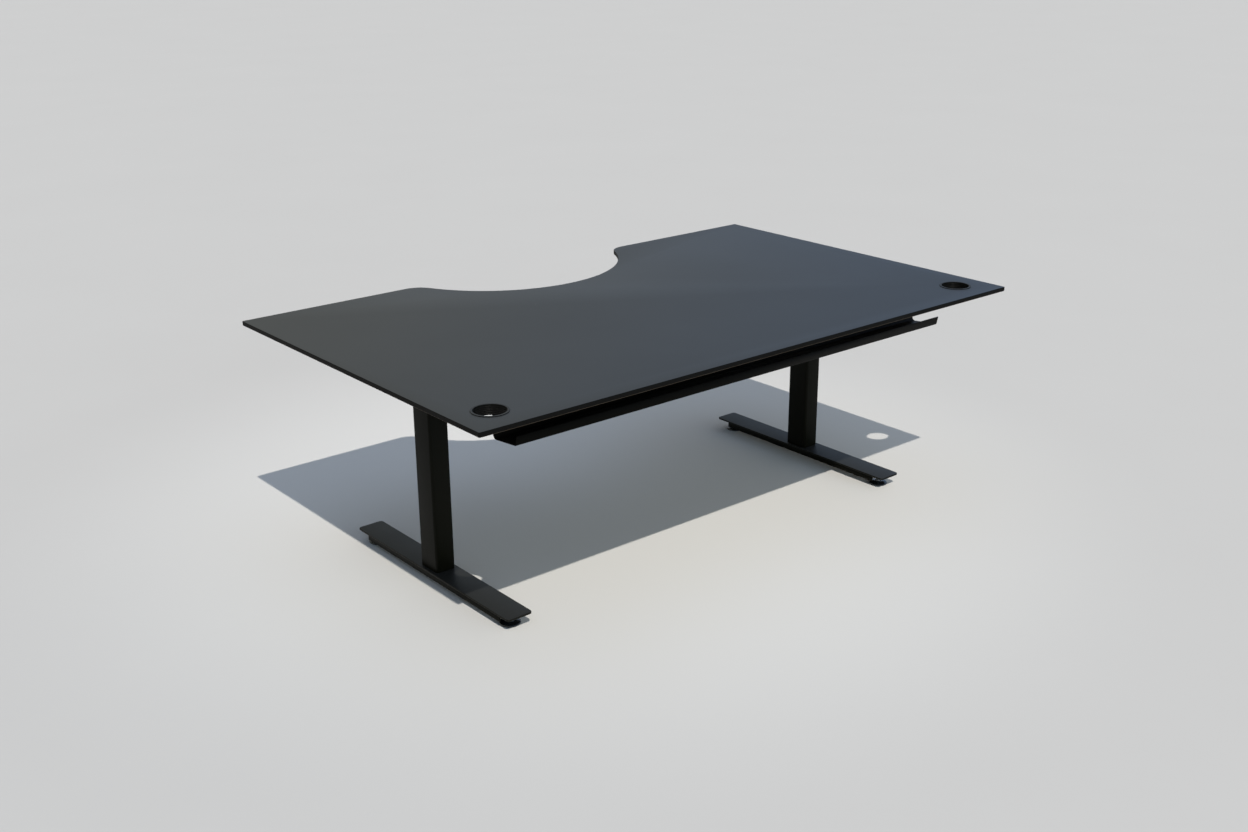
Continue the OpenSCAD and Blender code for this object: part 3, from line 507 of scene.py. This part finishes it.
# Too small to see: it keeps the corners of neighbouring holes off one line, which
# the filling needs, and shapes that are stacked apart.
hair = 0.000002
slot_v = tray_low[2] + slot_rise - tray_path[wall_side][1]
slots = []
for i in range(tray_slots):
    x, v = (i - (tray_slots - 1) / 2) * slot_pitch, slot_v + i * i * hair
    slots.append(np.concatenate([arc((x + (slot_l - slot_h) / 2, v), slot_h / 2, -90, 90, 8),
                                 arc((x - (slot_l - slot_h) / 2, v), slot_h / 2, 90, 270, 8)]))
trough = folded(tray_path, tray_low[0], tray_high[0], {wall_side: slots})
tray = piece("cable_tray_trough", [trough], tray_coat_painted_bounce, "lift", smooth=50)
weld = tray.modifiers.new("joined_folds", "WELD")
weld.merge_threshold = 0.00001
give_wall(tray, sheet_t, 0)
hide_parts("cable_tray")


# ---------------- the feet
# Each foot is a flat bar with round corners on a narrower inverted channel,
# welded together and powder coated. The bar's long edges are ground smooth.

def oblong(low_corner, high_corner, radius, steps=8):
    """The outline of a rectangle with round corners, anticlockwise."""
    (x0, y0), (x1, y1) = low_corner[:2], high_corner[:2]
    return np.concatenate([
        arc((x1 - radius, y0 + radius), radius, 270, 360, steps),
        arc((x1 - radius, y1 - radius), radius, 0, 90, steps),
        arc((x0 + radius, y1 - radius), radius, 90, 180, steps),
        arc((x0 + radius, y0 + radius), radius, 180, 270, steps),
    ])


# Shoes rub the bars, which makes their coat a little glossier.
rubbed_coat = other_coat("black_powder_coated_foot", 0.14)

for side in ("left", "right"):
    bar_low, bar_high = np.array(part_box(f"foot_plate_{side}"))
    flat = plate(oblong(bar_low, bar_high, 0.010), rounded(bar_low[2], bar_high[2], 0.0008, 0.0012))
    bar = piece(f"foot_bar_{side}", [flat], rubbed_coat, "base")
    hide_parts(f"foot_plate_{side}")


# ---------------- the glide pads
# A disc of glass-filled nylon turns on a zinc stud under each end of a foot.
# Its rim is rounded so that it slides over a joint in the floor.

# Glass fibres that lie in the moulded skin break up its dull gloss.
glide_nylon, tree, shader, place = plain("glass_filled_nylon",
                                         {"Base Color": "#181a1c", "Roughness": 0.2})
fibre = node(tree, "TexNoise", {"Scale": 700.0, "Detail": 3.0}, Vector=place)
relief = node(tree, "Bump", {"Strength": 0.15, "Distance": 0.0001}, Height=fibre)
node(tree, shader, Normal=relief)

pad_foot, pad_round = 0.0015, 0.0028
for end in ("front", "rear"):
    for side in ("left", "right"):
        pad_low, pad_high = np.array(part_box(f"glide_pad_{end}_{side}"))
        centre = (pad_low + pad_high) / 2
        pad_r = (pad_high - pad_low)[0] / 2
        hub_h = pad_high[2]
        pad_profile = np.concatenate([
            [(0, 0)], arc((pad_r - pad_foot, pad_foot), pad_foot, -90, 0, 4),
            arc((pad_r - pad_round, 0.0022), pad_round, 0, 78, 6),
            [(0.0150, 0.0057), (0.0105, hub_h - 0.0020), (0.0092, hub_h), (0, hub_h)],
        ])
        disc = lathe(pad_profile, (centre[0], centre[1], pad_low[2]), 64, False)
        pad = piece(f"glide_disc_{end}_{side}", [disc], glide_nylon, f"glide_{end}_{side}")
        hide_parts(f"glide_pad_{end}_{side}")


# ---------------- the columns
# Three cold-drawn steel tubes slide inside each other on either side, powder
# coated. A moulded guide with a thin lip sits in the mouth of the outer and of
# the middle one and keeps the next tube from rattling.

def finish(name, colours, gloss, metal, grain, relief, drift=9.0, shine=0.5):
    """A material whose colour and roughness drift between two values over some centimetres, with
    a fine relief of so many grains a metre."""
    made, tree, shader, place = plain(name, {"Metallic": metal, "Specular IOR Level": shine})
    cloud = node(tree, "TexNoise", {"Scale": drift, "Detail": 3.0}, Vector=place)
    colour = node(tree, "Mix", {"data_type": "RGBA", 6: colours[0], 7: colours[1]}, Factor=cloud)
    rough = node(tree, "MapRange", {3: gloss[0], 4: gloss[1]}, Value=cloud)
    grains = node(tree, "TexNoise", {"Scale": grain, "Detail": 2.0}, Vector=place)
    bump = node(tree, "Bump", {"Strength": relief, "Distance": 0.0002}, Height=grains)
    node(tree, shader, Base_Color=colour, Roughness=rough, Normal=bump)
    return made


# ABS from a spark-eroded mould: an even matt grain of a third of a millimetre,
# drawn a little coarser, that scatters what the plastic reflects.
moulded_black = finish("spark_textured_abs", ("#151616", "#191a1a"), (0.46, 0.54), 0.0, 900.0, 0.3, shine=0.3)

tube_wall, guide_clear = 0.002, 0.00025
tube_radius = {"outer": 0.0070, "middle": 0.0047, "inner": 0.00355}


def grown(corners, amount):
    """A box's two corners, each moved outwards in X and Y."""
    return np.array(corners[0])[:2] - amount, np.array(corners[1])[:2] + amount


def collar(outside, radius, hole, hole_radius, bottom, top, soft=0.0004):
    """A box-section ring between two oblongs, with softened outer arrises."""
    return plate(oblong(*outside, radius), rounded(bottom, top, soft, soft, 3),
                 [oblong(*hole, max(hole_radius, 0.0005))])


for side in ("left", "right"):
    tubes = {stage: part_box(f"{stage}_tube_{side}") for stage in tube_radius}
    ridden = {"outer": "base", "middle": f"middle_{side}", "inner": "lift"}
    for stage, radius in tube_radius.items():
        box = tubes[stage]
        wall = collar(grown(box, 0), radius, grown(box, -tube_wall), radius - tube_wall, box[0][2], box[1][2])
        tube = piece(f"{stage}_column_tube_{side}", [wall], powder_coat, ridden[stage])
        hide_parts(f"{stage}_tube_{side}")
    for stage, inside in (("outer", "middle"), ("middle", "inner")):
        (_, _, foot), (_, _, lip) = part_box(f"{stage}_guide_{side}")
        mouth = tubes[stage][1][2]
        hole = grown(tubes[inside], guide_clear)
        guide = piece(f"{stage}_column_guide_{side}", [
            collar(grown(tubes[stage], 0), tube_radius[stage], hole, tube_radius[inside], mouth, lip, 0.0008),
            collar(grown(tubes[stage], -tube_wall), tube_radius[stage] - tube_wall, hole, tube_radius[inside],
                   foot, mouth - hair)], moulded_black, ridden[stage])
        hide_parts(f"{stage}_guide_{side}")


# ---------------- the side arms, beams and channels
# A side arm is a channel of 2.5 mm steel, open below, whose flanges taper to
# both ends. Two box-section beams with welded tabs are bolted between the arms,
# and a smaller channel stiffens each foot. All are powder coated.

def bent_channel(corners, wall, bend, stations):
    """The middle surface of a sheet bent to an upside-down U across X. It runs along Y through
    stations, pairs of y and the height of the flanges' lower edges."""
    (x0, _, _), (x1, _, top) = corners
    x0, x1, top = x0 + wall / 2, x1 - wall / 2, top - wall / 2
    section = np.concatenate([[(x0, 0)], arc((x0 + bend, top - bend), bend, 180, 90, 5),
                              arc((x1 - bend, top - bend), bend, 90, 0, 5), [(x1, 0)]])
    y, edge = np.array(stations).T[:, :, None]
    x = np.repeat(section[None, :, 0], len(y), 0)
    z = np.repeat(section[None, :, 1], len(y), 0)
    z[:, [0, -1]] = edge
    points = np.stack([x, np.broadcast_to(y, x.shape), z], -1).reshape(-1, 3)
    count = len(section)
    faces = ring_faces(len(y), count).reshape(len(y) - 1, count, 4)[:, :-1].reshape(-1, 4)
    return points, faces.tolist()


def stood(shape, right, origin=(0, 0, 0)):
    """A shape stood on its edge and moved to the origin: its own X lies along right, its own Y
    upwards, and its heights point to the right-hand side of one who looks along right."""
    points, faces = shape
    axes = np.array([right, (0, 0, 1), np.cross(right, (0, 0, 1))], float)
    return points @ axes + origin, faces


def weld_bead(outline, at, size):
    """A round fillet of a size round what stands on a plate, which is at the height at. A size
    below 0 puts it on the plate's lower side."""
    t = np.radians(np.linspace(0, 90, 4))
    profile = np.stack([-abs(size) * np.cos(t), at + size * np.sin(t)], 1)
    return plate(outline, profile if size > 0 else profile[::-1])


arm_wall, arm_bend, arm_tip = 0.0025, 0.0040, 0.010
stiffener_wall, stiffener_bend = 0.0025, 0.0030
arm_taper_front, arm_taper_rear = 0.090, 0.070
for side in ("left", "right"):
    (_, y0, z0), (_, y1, z1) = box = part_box(f"side_arm_{side}")
    tip_z = z1 - arm_tip
    channel = bent_channel(box, arm_wall, arm_bend, [
        (y0, tip_z), (y0 + arm_taper_front, z0), (y1 - arm_taper_rear, z0), (y1, tip_z)])
    arm = piece(f"side_arm_channel_{side}", [channel], powder_coat, "lift")
    give_wall(arm, arm_wall)
    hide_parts(f"side_arm_{side}")

    (_, y0, z0), (_, y1, _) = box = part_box(f"foot_channel_{side}")
    channel = bent_channel(box, stiffener_wall, stiffener_bend, [(y0, z0), (y1, z0)])
    stiffener = piece(f"foot_stiffener_{side}", [channel], powder_coat, "base")
    give_wall(stiffener, stiffener_wall)
    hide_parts(f"foot_channel_{side}")

beam_tab, beam_depth, bead = 0.004, 0.050, 0.0025
for end in ("front", "rear"):
    low_corner, high_corner = np.array(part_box(f"cross_beam_{end}"))
    middle = (low_corner[1] + high_corner[1]) / 2
    section = ((middle - beam_depth / 2, low_corner[2]), (middle + beam_depth / 2, high_corner[2]))
    reach = high_corner[0] - beam_tab
    tab = oblong(low_corner[1:], high_corner[1:], 0.004)
    inside = (np.array(section[0]) + bead, np.array(section[1]) - bead)
    shapes = [plate(oblong(*section, 0.003), [(0, -reach), (0, reach)], [oblong(*inside, 0.001)]),
              plate(tab, rounded(-high_corner[0], -reach, 0.0004, 0.0004, 2)),
              plate(tab, rounded(reach, high_corner[0], 0.0004, 0.0004, 2)),
              weld_bead(oblong(*inside, 0.003), -reach, bead * 1.6),
              weld_bead(oblong(*inside, 0.003), reach, -bead * 1.6)]
    shapes = [stood(shape, (0, 1, 0)) for shape in shapes]
    beam = piece(f"cross_beam_box_section_{end}", shapes, powder_coat, "lift")
    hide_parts(f"cross_beam_{end}")


# ---------------- the screws and the nuts
# Hexagon bolts, socket screws and studs of cold-forged steel, plated with zinc,
# and the black nuts under the feet that the studs of the glides turn in.

# Blue-passivated zinc is a soft, slightly cloudy grey mirror with a cool cast.
zinc = finish("blue_passivated_zinc", ("#a9adb2", "#c2c4c5"), (0.26, 0.42), 1.0, 500.0, 0.1, 60.0)


def forged(profile, steps=24, closed=False):
    """A lathe shape with some hexagonal rows: each row is (radius, height, 1 for a hexagon), and
    a hexagon's radius is half its width across flats over the cosine of the angle from the
    middle of the flat."""
    profile = np.asarray(profile, float)
    points, faces = lathe(profile[:, :2], (0, 0, 0), steps, closed)
    turn = np.arange(steps) * 2 * math.pi / steps
    six = 1 / np.cos(turn % (math.pi / 3) - math.pi / 6)
    rows = profile[:, 2] if closed else profile[1:-1, 2]
    stretch = np.where(rows[:, None] > 0, six[None, :], 1.0).reshape(-1)
    points[:len(stretch), :2] *= stretch[:, None]
    return points, faces


def hexagon_bolt(flats, head, shank, length):
    """A bolt with the bearing face of its head at height 0 and its shank upwards."""
    a = flats / 2
    return forged([(0, -head, 0), (a * 0.93, -head, 0), (a, -head * 0.88, 1), (a, 0, 1), (shank, 0, 0),
                   (shank, length - 0.0006, 0), (shank * 0.85, length, 0), (0, length, 0)])


def socket_screw(radius, head, key, shank, length):
    """A button-head screw, its shank upwards from height 0, with a hexagon socket in its head."""
    return forged([(0, -head * 0.4, 0), (key / 2, -head * 0.4, 1), (key / 2, -head, 1),
                   (radius * 0.62, -head, 0), (radius * 0.86, -head * 0.8, 0),
                   (radius * 0.98, -head * 0.4, 0), (radius, 0, 0),
                   (shank, 0, 0), (shank, length, 0), (0, length, 0)])


def moved(shape, x, y, z):
    """A shape moved by x, y and z."""
    return shape[0] + (x, y, z), shape[1]


def screws(name, node_name, body, shapes):
    """One piece of several fasteners that stands for a node."""
    made = piece(name, shapes, zinc, body, 30)
    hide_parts(node_name)


leg_x = sum(corner[0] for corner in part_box("outer_tube_right")) / 2
under_z, arm_low = top_low[2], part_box("side_arm_left")[0][2]
bolt_z = (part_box("cross_beam_front")[0][2] + under_z) / 2
top_screw = socket_screw(0.0055, 0.0025, 0.004, 0.003, 0.010)
top_screw_y = (-0.375, -0.220, 0.095, 0.303)
screws("worktop_screws", "tabletop_screws", "lift", [
    moved(top_screw, side * leg_x, y, under_z - arm_wall) for side in (-1, 1) for y in top_screw_y])

arm_half, boss_y, beam_y, tab_y = 0.030, 0.030, 0.150, 0.034
boss_bolt, tab_bolt = (hexagon_bolt(0.00866, 0.004, 0.003, length) for length in (0.014, 0.012))
screws("frame_hexagon_bolts", "frame_bolts", "lift", [
    stood(boss_bolt, (0, way, 0), (side * leg_x - way * arm_half, y, bolt_z))
    for side in (-1, 1) for way in (-1, 1) for y in (-boss_y, boss_y)] + [
    stood(tab_bolt, (0, side, 0), (side * (leg_x - arm_half - beam_tab), row + y, bolt_z))
    for side in (-1, 1) for row in (-beam_y, beam_y) for y in (-tab_y, tab_y)])

foot_bolt = hexagon_bolt(0.01126, 0.006, 0.004, 0.0155)
foot_bolt_x, foot_bolt_y, foot_bolt_z = 0.016, 0.026, 0.0285
screws("foot_hexagon_bolts", "foot_bolts", "base", [
    moved(foot_bolt, side * leg_x + x, y, foot_bolt_z)
    for side in (-1, 1) for x in (-foot_bolt_x, foot_bolt_x) for y in (-foot_bolt_y, foot_bolt_y)])

# The nuts are welded under the feet before these are coated, so they are black too.
nut_bore_r, nut_flat_r = 0.00505, 0.008487
nut_low, nut_high = (corner[2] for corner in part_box("glide_nuts"))
weld_nut = forged([(nut_bore_r, nut_low, 0), (0.0078, nut_low, 0), (nut_flat_r, nut_low + 0.0007, 1),
                   (nut_flat_r, nut_high, 1), (nut_bore_r, nut_high, 0)], closed=True)
glide_y = [sum(corner[1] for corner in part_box(f"glide_stud_{end}_left")) / 2 for end in ("front", "rear")]
nuts = piece("glide_weld_nuts", [moved(weld_nut, side * leg_x, y, 0) for side in (-1, 1) for y in glide_y],
             powder_coat, "base", 30)
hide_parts("glide_nuts")

box_low, box_high = np.array(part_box("control_box"))
hand_low, hand_high = np.array(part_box("handset"))
ear, ear_t, ear_screw_y, hand_screw_x = 0.014, 0.003, 0.021, 0.039
small_screw = {sheet: socket_screw(0.004, 0.0024, 0.0025, 0.002, sheet + 0.008) for sheet in (sheet_t, ear_t)}
box_y = (box_low[1] + box_high[1]) / 2
hand_x, hand_screw_y = (hand_low[0] + hand_high[0]) / 2, hand_low[1] + 0.032
small_places = [(i * 0.280, tray_low[1] + tray_flange / 2, sheet_t) for i in range(-2, 3)]
small_places += [(side * (box_high[0] - ear / 2), box_y + y, ear_t)
                 for side in (-1, 1) for y in (-ear_screw_y, ear_screw_y)]
small_places += [(hand_x + side * hand_screw_x, hand_screw_y, ear_t) for side in (-1, 1)]
screws("accessory_button_screws", "accessory_screws", "lift", [
    moved(small_screw[sheet], x, y, under_z - sheet) for x, y, sheet in small_places])


def threaded(radius, pitch, bottom, top, steps=24):
    """A screw thread: six rows to a pitch, each lifted by the pitch once round, whose radius falls
    by 0.6 of the pitch from crest to root with the distance from the crest along the axis."""
    rows = np.arange(bottom, top, pitch / 6)
    turn = np.linspace(0, 2 * math.pi, steps, endpoint=False)
    z, angle = np.meshgrid(rows, turn, indexing="ij")
    wave = np.abs((z / pitch - angle / (2 * math.pi)) % 1 - 0.5) * 2
    r = radius - 0.6 * pitch * np.clip(1.1 - wave * 1.2, 0, 1)
    points = np.stack([r * np.cos(angle), r * np.sin(angle), z], -1).reshape(-1, 3)
    ends = [(0, 0, rows[0]), (0, 0, rows[-1])]
    return closed_ends(points, ring_faces(len(rows), steps).tolist(), len(rows), steps, ends)


grip_r, grip_round = 0.006928, 0.0064
for end in ("front", "rear"):
    for side in ("left", "right"):
        (x0, y0, z0), (x1, y1, z1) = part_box(f"glide_stud_{end}_{side}")
        grip = forged([(0, 0.0088, 0), (grip_round, 0.0090, 0), (grip_r, 0.0096, 1), (grip_r, 0.0114, 1),
                       (grip_round, 0.0120, 0), (0, 0.0121, 0)])
        thread = threaded(0.005, 0.0015, z0, z1)
        shapes = [moved(shape, (x0 + x1) / 2, (y0 + y1) / 2, 0) for shape in (thread, grip)]
        stud = piece(f"glide_threaded_stud_{end}_{side}", shapes, zinc, f"glide_{end}_{side}", 30)
        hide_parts(f"glide_stud_{end}_{side}")


# ---------------- the gear housings and motors
# A worm gear turns the screw of each column. Its housing is die-cast in two
# halves with ribs in front and behind, and its motor is a drawn steel can with
# a crimped end cap, bolted on from the inner side.

# Sand-blasted die-cast aluminium with a dark chemical finish: dull metal with a
# rough skin of about half a millimetre.
cast_housing = finish("dark_die_cast_aluminium", ("#333537", "#3c3e40"), (0.46, 0.58), 1.0, 600.0, 0.35)
# Stove enamel on a drawn can: a smooth deep black with a clear gloss.
motor_shell = finish("stove_enamelled_can", ("#131414", "#171818"), (0.26, 0.34), 0.0, 300.0, 0.06)

split_z, seam, rib_t, rib_reach, rib_pitch, rib_margin = 0.012, 0.0001, 0.003, 0.003, 0.015, 0.005
boss_half_x, boss_half_y, flange_t, can_length = 0.0273, 0.044, 0.004, 0.105
bearing_cap = lathe([(0, -0.001), (0.0130, -0.001), (0.0130, 0.0012), (0.0122, 0.0020), (0.0075, 0.0020),
                     (0.0068, 0.0014), (0, 0.0014)], (0, 0, 0), 48, False)
can = lathe([(0, 0.002), (0.0192, 0.002), (0.0192, 0.0046), (0.0203, 0.0052), (0.0210, 0.0066),
             (0.0210, 0.0300), (0.0207, 0.0303), (0.0207, 0.0313), (0.0210, 0.0316), (0.0210, 0.0895),
             (0.0203, 0.0903), (0.0203, 0.0925), (0.0210, 0.0933), (0.0210, 0.0950), (0.0200, 0.0960),
             (0.0172, 0.0960), (0.0170, 0.0965), (0.0170, 0.1032), (0.0165, 0.1045), (0.0152, can_length),
             (0.0070, can_length), (0.0066, 0.1042), (0, 0.1042)], (0, 0, 0), 64, False)
flange_screw = socket_screw(0.0032, 0.0022, 0.0025, 0.0015, 0.004)
end_screw = socket_screw(0.0022, 0.0010, 0.0015, 0.0010, 0.003)
cover_screw = socket_screw(0.0034, 0.0022, 0.0025, 0.0015, 0.004)
flange_hole, end_hole, cover_hole_x, cover_hole_y = 0.0183, 0.0110, 0.0245, 0.0405
for sign, side in ((-1, "left"), (1, "right")):
    low_corner, high_corner = np.array(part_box(f"gear_housing_{side}"))
    x, half_x = (low_corner[0] + high_corner[0]) / 2, (high_corner[0] - low_corner[0]) / 2
    z0, z1 = low_corner[2], arm_low
    body = oblong(low_corner + (0, rib_reach, 0), high_corner - (0, rib_reach, 0), 0.008)
    shapes = [
        plate(body, rounded(z0, z0 + split_z - seam, 0.0015, 0.0005, 4),
              [oblong(*grown(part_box(f"inner_tube_{side}"), 0), tube_radius["inner"])]),
        plate(body, rounded(z0 + split_z, z1 - hair, 0.0005, 0.0012, 4)),
        plate(oblong((x - boss_half_x, -boss_half_y), (x + boss_half_x, boss_half_y), 0.004),
              rounded(z1, high_corner[2], 0, 0.0005, 2)),
    ]
    for i in (-1, 0, 1):
        rib_x = x + i * rib_pitch
        rib = oblong((rib_x - rib_t / 2, low_corner[1]), (rib_x + rib_t / 2, high_corner[1]),
                     rib_t / 2 - 0.0003, 4)
        shapes.append(plate(rib, rounded(z0 + rib_margin, z1 - rib_margin, 0.0005, 0.0005, 2)))
    motor_low, motor_high = np.array(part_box(f"motor_{side}"))
    axis_y, axis_z = (motor_low[1:] + motor_high[1:]) / 2
    shapes.append(stood(bearing_cap, (0, sign, 0), (x + sign * half_x, axis_y, axis_z)))
    housing = piece(f"worm_gear_housing_{side}", shapes, cast_housing, "lift")
    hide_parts(f"gear_housing_{side}")

    square, inner_x = (motor_high - motor_low)[1] / 2, x - sign * half_x
    flange = plate(oblong((-square, -square), (square, square), 0.006),
                   rounded(0, flange_t, 0.0004, 0.0008, 3))
    shapes = [stood(shape, (0, -sign, 0), (inner_x, axis_y, axis_z)) for shape in (flange, can)]
    motor = piece(f"motor_can_{side}", shapes, motor_shell, "lift")
    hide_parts(f"motor_{side}")

    inwards, back = ((inner_x - sign * depth, axis_y, axis_z) for depth in (flange_t, can_length))
    shapes = [stood(moved(flange_screw, a * flange_hole, b * flange_hole, 0), (0, sign, 0), inwards)
              for a in (-1, 1) for b in (-1, 1)]
    shapes += [stood(moved(end_screw, a * end_hole, 0, 0), (0, sign, 0), back) for a in (-1, 1)]
    shapes += [moved(cover_screw, x + a * cover_hole_x, b * cover_hole_y, z0)
               for a in (-1, 1) for b in (-1, 1)]
    piece(f"gear_screws_{side}", shapes, zinc, "lift", 30)


# ---------------- the control box
# A two-part moulded box with its power supply inside is screwed up under the
# worktop by two ears. Its rear end has a mains inlet and three small sockets,
# and slots in its floor let the warm air out.

cap_depth, vent_depth, port_z = 0.012, 0.0015, (box_low[2] + box_high[2]) / 2
shell_r, vent_half_x, vent_half_y, vent_pitch = 0.0035, 0.0015, 0.022, 0.009
body_x = box_high[0] - ear
shell_outline = oblong((-body_x, box_low[1]), (body_x, box_high[1] - cap_depth), shell_r)
vents = []
for i in range(9):
    x, y = (i - 4) * vent_pitch, box_y + (i + 1) ** 2 * hair
    vents.append(oblong((x - vent_half_x, y - vent_half_y), (x + vent_half_x, y + vent_half_y), 0.0014, 4))
inlet_low, inlet_high = np.array(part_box("mains_inlet"))
inlet_x = (inlet_low[0] + inlet_high[0]) / 2
socket_w, socket_h, inlet_w, inlet_h = 0.012, 0.009, 0.027, 0.020
socket_x = [-inlet_x + i * 2 * socket_w for i in range(3)]


def opening(x, width, height, radius):
    """The outline of a hole in the rear end, seen from behind, where X runs to the left. A
    ten-thousandth of x lifts it, which keeps its corners off its neighbours' lines."""
    middle, half = np.array([-x, port_z + x * 0.0001]), np.array([width, height]) / 2
    return oblong(middle - half, middle + half, radius, 4)


holes = [opening(inlet_x, inlet_w, inlet_h, 0.002)]
holes += [opening(x, socket_w, socket_h, 0.001) for x in socket_x]
rear_end = plate(oblong((-body_x, box_low[2]), (body_x, box_high[2]), shell_r),
                 rounded(0, cap_depth, 0.0006, 0.0016, 4), holes)
shapes = [
    plate(shell_outline, rounded(box_low[2], box_low[2] + vent_depth, 0.0012, 0, 4)[:6], vents),
    plate(shell_outline, [(0, box_low[2] + vent_depth + hair), (0, box_high[2])]),
    stood(rear_end, (-1, 0, 0), (0, box_high[1] - cap_depth + hair, 0)),
]
# The ears run into the shell by a lap, and the left one is longer by it outside too.
lap, ear_inset = 0.002, 0.010
for side in (-1, 1):
    x = side * (body_x + ear / 2)
    flat = oblong((x - ear / 2 - lap, box_low[1] + ear_inset),
                  (x + ear / 2 + (lap if side < 0 else 0), box_high[1] - ear_inset), 0.005)
    shapes.append(plate(flat, rounded(box_high[2] - ear_t, box_high[2], 0.0008, 0, 3)))
shell = piece("control_box_shell", shapes, moulded_black, "lift")
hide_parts("control_box")

# Contacts stand in a tongue in each small socket. The inlet has three flat pins
# and two cut corners on the side of its earth pin.
tongue_half_x, tongue_half_z, pin_half_x, pin_half_z = 0.0042, 0.0012, 0.001, 0.002
tongues = [plate(oblong((-x - tongue_half_x, port_z - tongue_half_z),
                        (-x + tongue_half_x, port_z + tongue_half_z), 0.0004, 2),
                 rounded(-0.001, 0.0075, 0, 0.0003, 2)) for x in socket_x]
cut, plug_x, plug_z = 0.004, 0.0115, 0.0080
recess = np.array([(-plug_x, -plug_z), (plug_x, -plug_z), (plug_x, plug_z - cut), (plug_x - cut, plug_z),
                   (cut - plug_x, plug_z), (-plug_x, plug_z - cut)]) + (-inlet_x, port_z)
depth, recess_floor = (inlet_high - inlet_low)[1], 0.002
rim_outline = oblong((-inlet_high[0], inlet_low[2]), (-inlet_low[0], inlet_high[2]), 0.002, 4)
moulding = [plate(rim_outline, rounded(recess_floor, depth, 0, 0.0005, 3), [recess]),
            plate(rim_outline, [(0, 0), (0, recess_floor - hair)])]
inlet = piece("mains_inlet_moulding", [stood(shape, (-1, 0, 0), (0, inlet_low[1], 0)) for shape in moulding],
              moulded_black, "lift")
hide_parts("mains_inlet")
pins = []
for x, z in ((-0.006, -0.0015), (0, 0.0015), (0.006, -0.0015)):
    x, z = x - inlet_x, port_z + z
    blade = oblong((x - pin_half_x, z - pin_half_z), (x + pin_half_x, z + pin_half_z), 0.0005, 2)
    pin = plate(blade, rounded(0.001, depth - 0.004, 0, 0.0004, 2))
    pins.append(stood(pin, (-1, 0, 0), (0, inlet_low[1], 0)))
piece("inlet_pins", pins, zinc, "lift", 30)
piece("socket_tongues", [stood(shape, (-1, 0, 0), (0, box_high[1] - cap_depth, 0)) for shape in tongues],
      moulded_black, "lift")


# ---------------- the handset and buttons
# A small moulded case under the front edge, screwed up from below, with two
# push buttons side by side in wells in its front.

well_depth, stem_depth, stem_r = 0.0042, 0.0104, 0.002
button_boxes = {name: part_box(f"button_{name}") for name in ("up", "down")}
button_z = sum(corner[2] for corner in button_boxes["up"]) / 2
well_gap, well_half_z, case_r, case_slope = 0.0003, 0.005, 0.0022, 0.006
wells, stem_holes = [], []
for (x0, _, _), (x1, _, _) in button_boxes.values():
    wells.append(oblong((x0 - well_gap, button_z - well_half_z),
                        (x1 + well_gap, button_z + well_half_z), 0.0025))
    stem_holes.append(arc(((x0 + x1) / 2, button_z), stem_r + 0.0001, 0, 360, 24)[:-1])
face_outline = oblong((hand_low[0], hand_low[2]), (hand_high[0], hand_high[2]), case_r)
back_y = hand_low[1] + stem_depth + hair
back_outline = np.array([(back_y, hand_low[2]), (hand_high[1] - case_slope, hand_low[2]),
                         (hand_high[1], hand_low[2] + case_slope), (hand_high[1], hand_high[2]),
                         (back_y, hand_high[2])])
well_rim = plate(face_outline, rounded(0, well_depth, 0, 0.0014, 4), wells)
well_floor = plate(face_outline, [(0, 0), (0, stem_depth - well_depth - hair)], stem_holes)
back = plate(back_outline, rounded(hand_low[0], hand_high[0], 0.0012, 0.0012, 4))
case = piece("handset_case", [
    stood(well_rim, (1, 0, 0), (0, hand_low[1] + well_depth, 0)),
    stood(well_floor, (1, 0, 0), (0, hand_low[1] + stem_depth, 0)),
    stood(back, (0, 1, 0)),
], moulded_black, "lift")
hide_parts("handset")

# The buttons are moulded in rubber, smoother than the case. Each has a dished face
# with a raised arrow that a fingertip can tell.
button_rubber = finish("button_rubber", ("#26272a", "#2b2c2f"), (0.55, 0.62), 0.0, 1500.0, 0.1)
height = 0.0042
dished = [(0, 0), (0, height - 0.0008), (0.0003, height - 0.0002), (0.0009, height), (0.0014, height),
          (0.0020, height - 0.0003)]
arrow_up = np.array([(-0.0030, -0.0014), (0.0030, -0.0014), (0, 0.0022)])
raised = [(0, height - 0.0006), (0, height - 0.0001), (0.0002, height)]
for (name, ((x0, y0, z0), (x1, _, z1))), point in zip(button_boxes.items(), (1, -1)):
    middle = (x0 + x1) / 2
    stem = [(0, -0.005), (stem_r, -0.005), (stem_r, 0.001), (0, 0.001)]
    arrow = (arrow_up * (1, point))[::point] + (middle, button_z)
    shapes = [plate(oblong((x0, z0), (x1, z1), 0.0022), dished),
              lathe(stem, (middle, button_z, 0), 24, False), plate(arrow, raised)]
    button = piece(f"push_button_{name}", [stood(shape, (1, 0, 0), (0, y0 + height, 0)) for shape in shapes],
                   button_rubber, f"button_{name}")
    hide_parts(f"button_{name}")


# ---------------- the hidden drive
# Inside each column stand the screws, the splined tube, their nuts and plates.
# They keep their drawn shapes in the finish of the real pieces.

# Steel ground and oiled: a fine, even, bright surface.
ground_steel = finish("ground_steel", ("#929496", "#a2a3a4"), (0.22, 0.34), 1.0, 800.0, 0.1)
# Natural acetal is a milky white plastic with a waxy gloss.
acetal = finish("natural_acetal", ("#dddbd2", "#e6e4dc"), (0.30, 0.40), 0.0, 300.0, 0.05)

by_slot = {"powder_coat": powder_coat, "zinc": zinc, "ground_steel": ground_steel, "acetal": acetal,
           "moulded_black": moulded_black, "cast_housing": cast_housing, "motor_shell": motor_shell,
           "port_plastic": port_plastic, "laminate": laminate, "glide_nylon": glide_nylon}
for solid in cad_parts.values():
    for holder in solid.material_slots:
        holder.material = by_slot[holder.material.name.split(".")[0]]
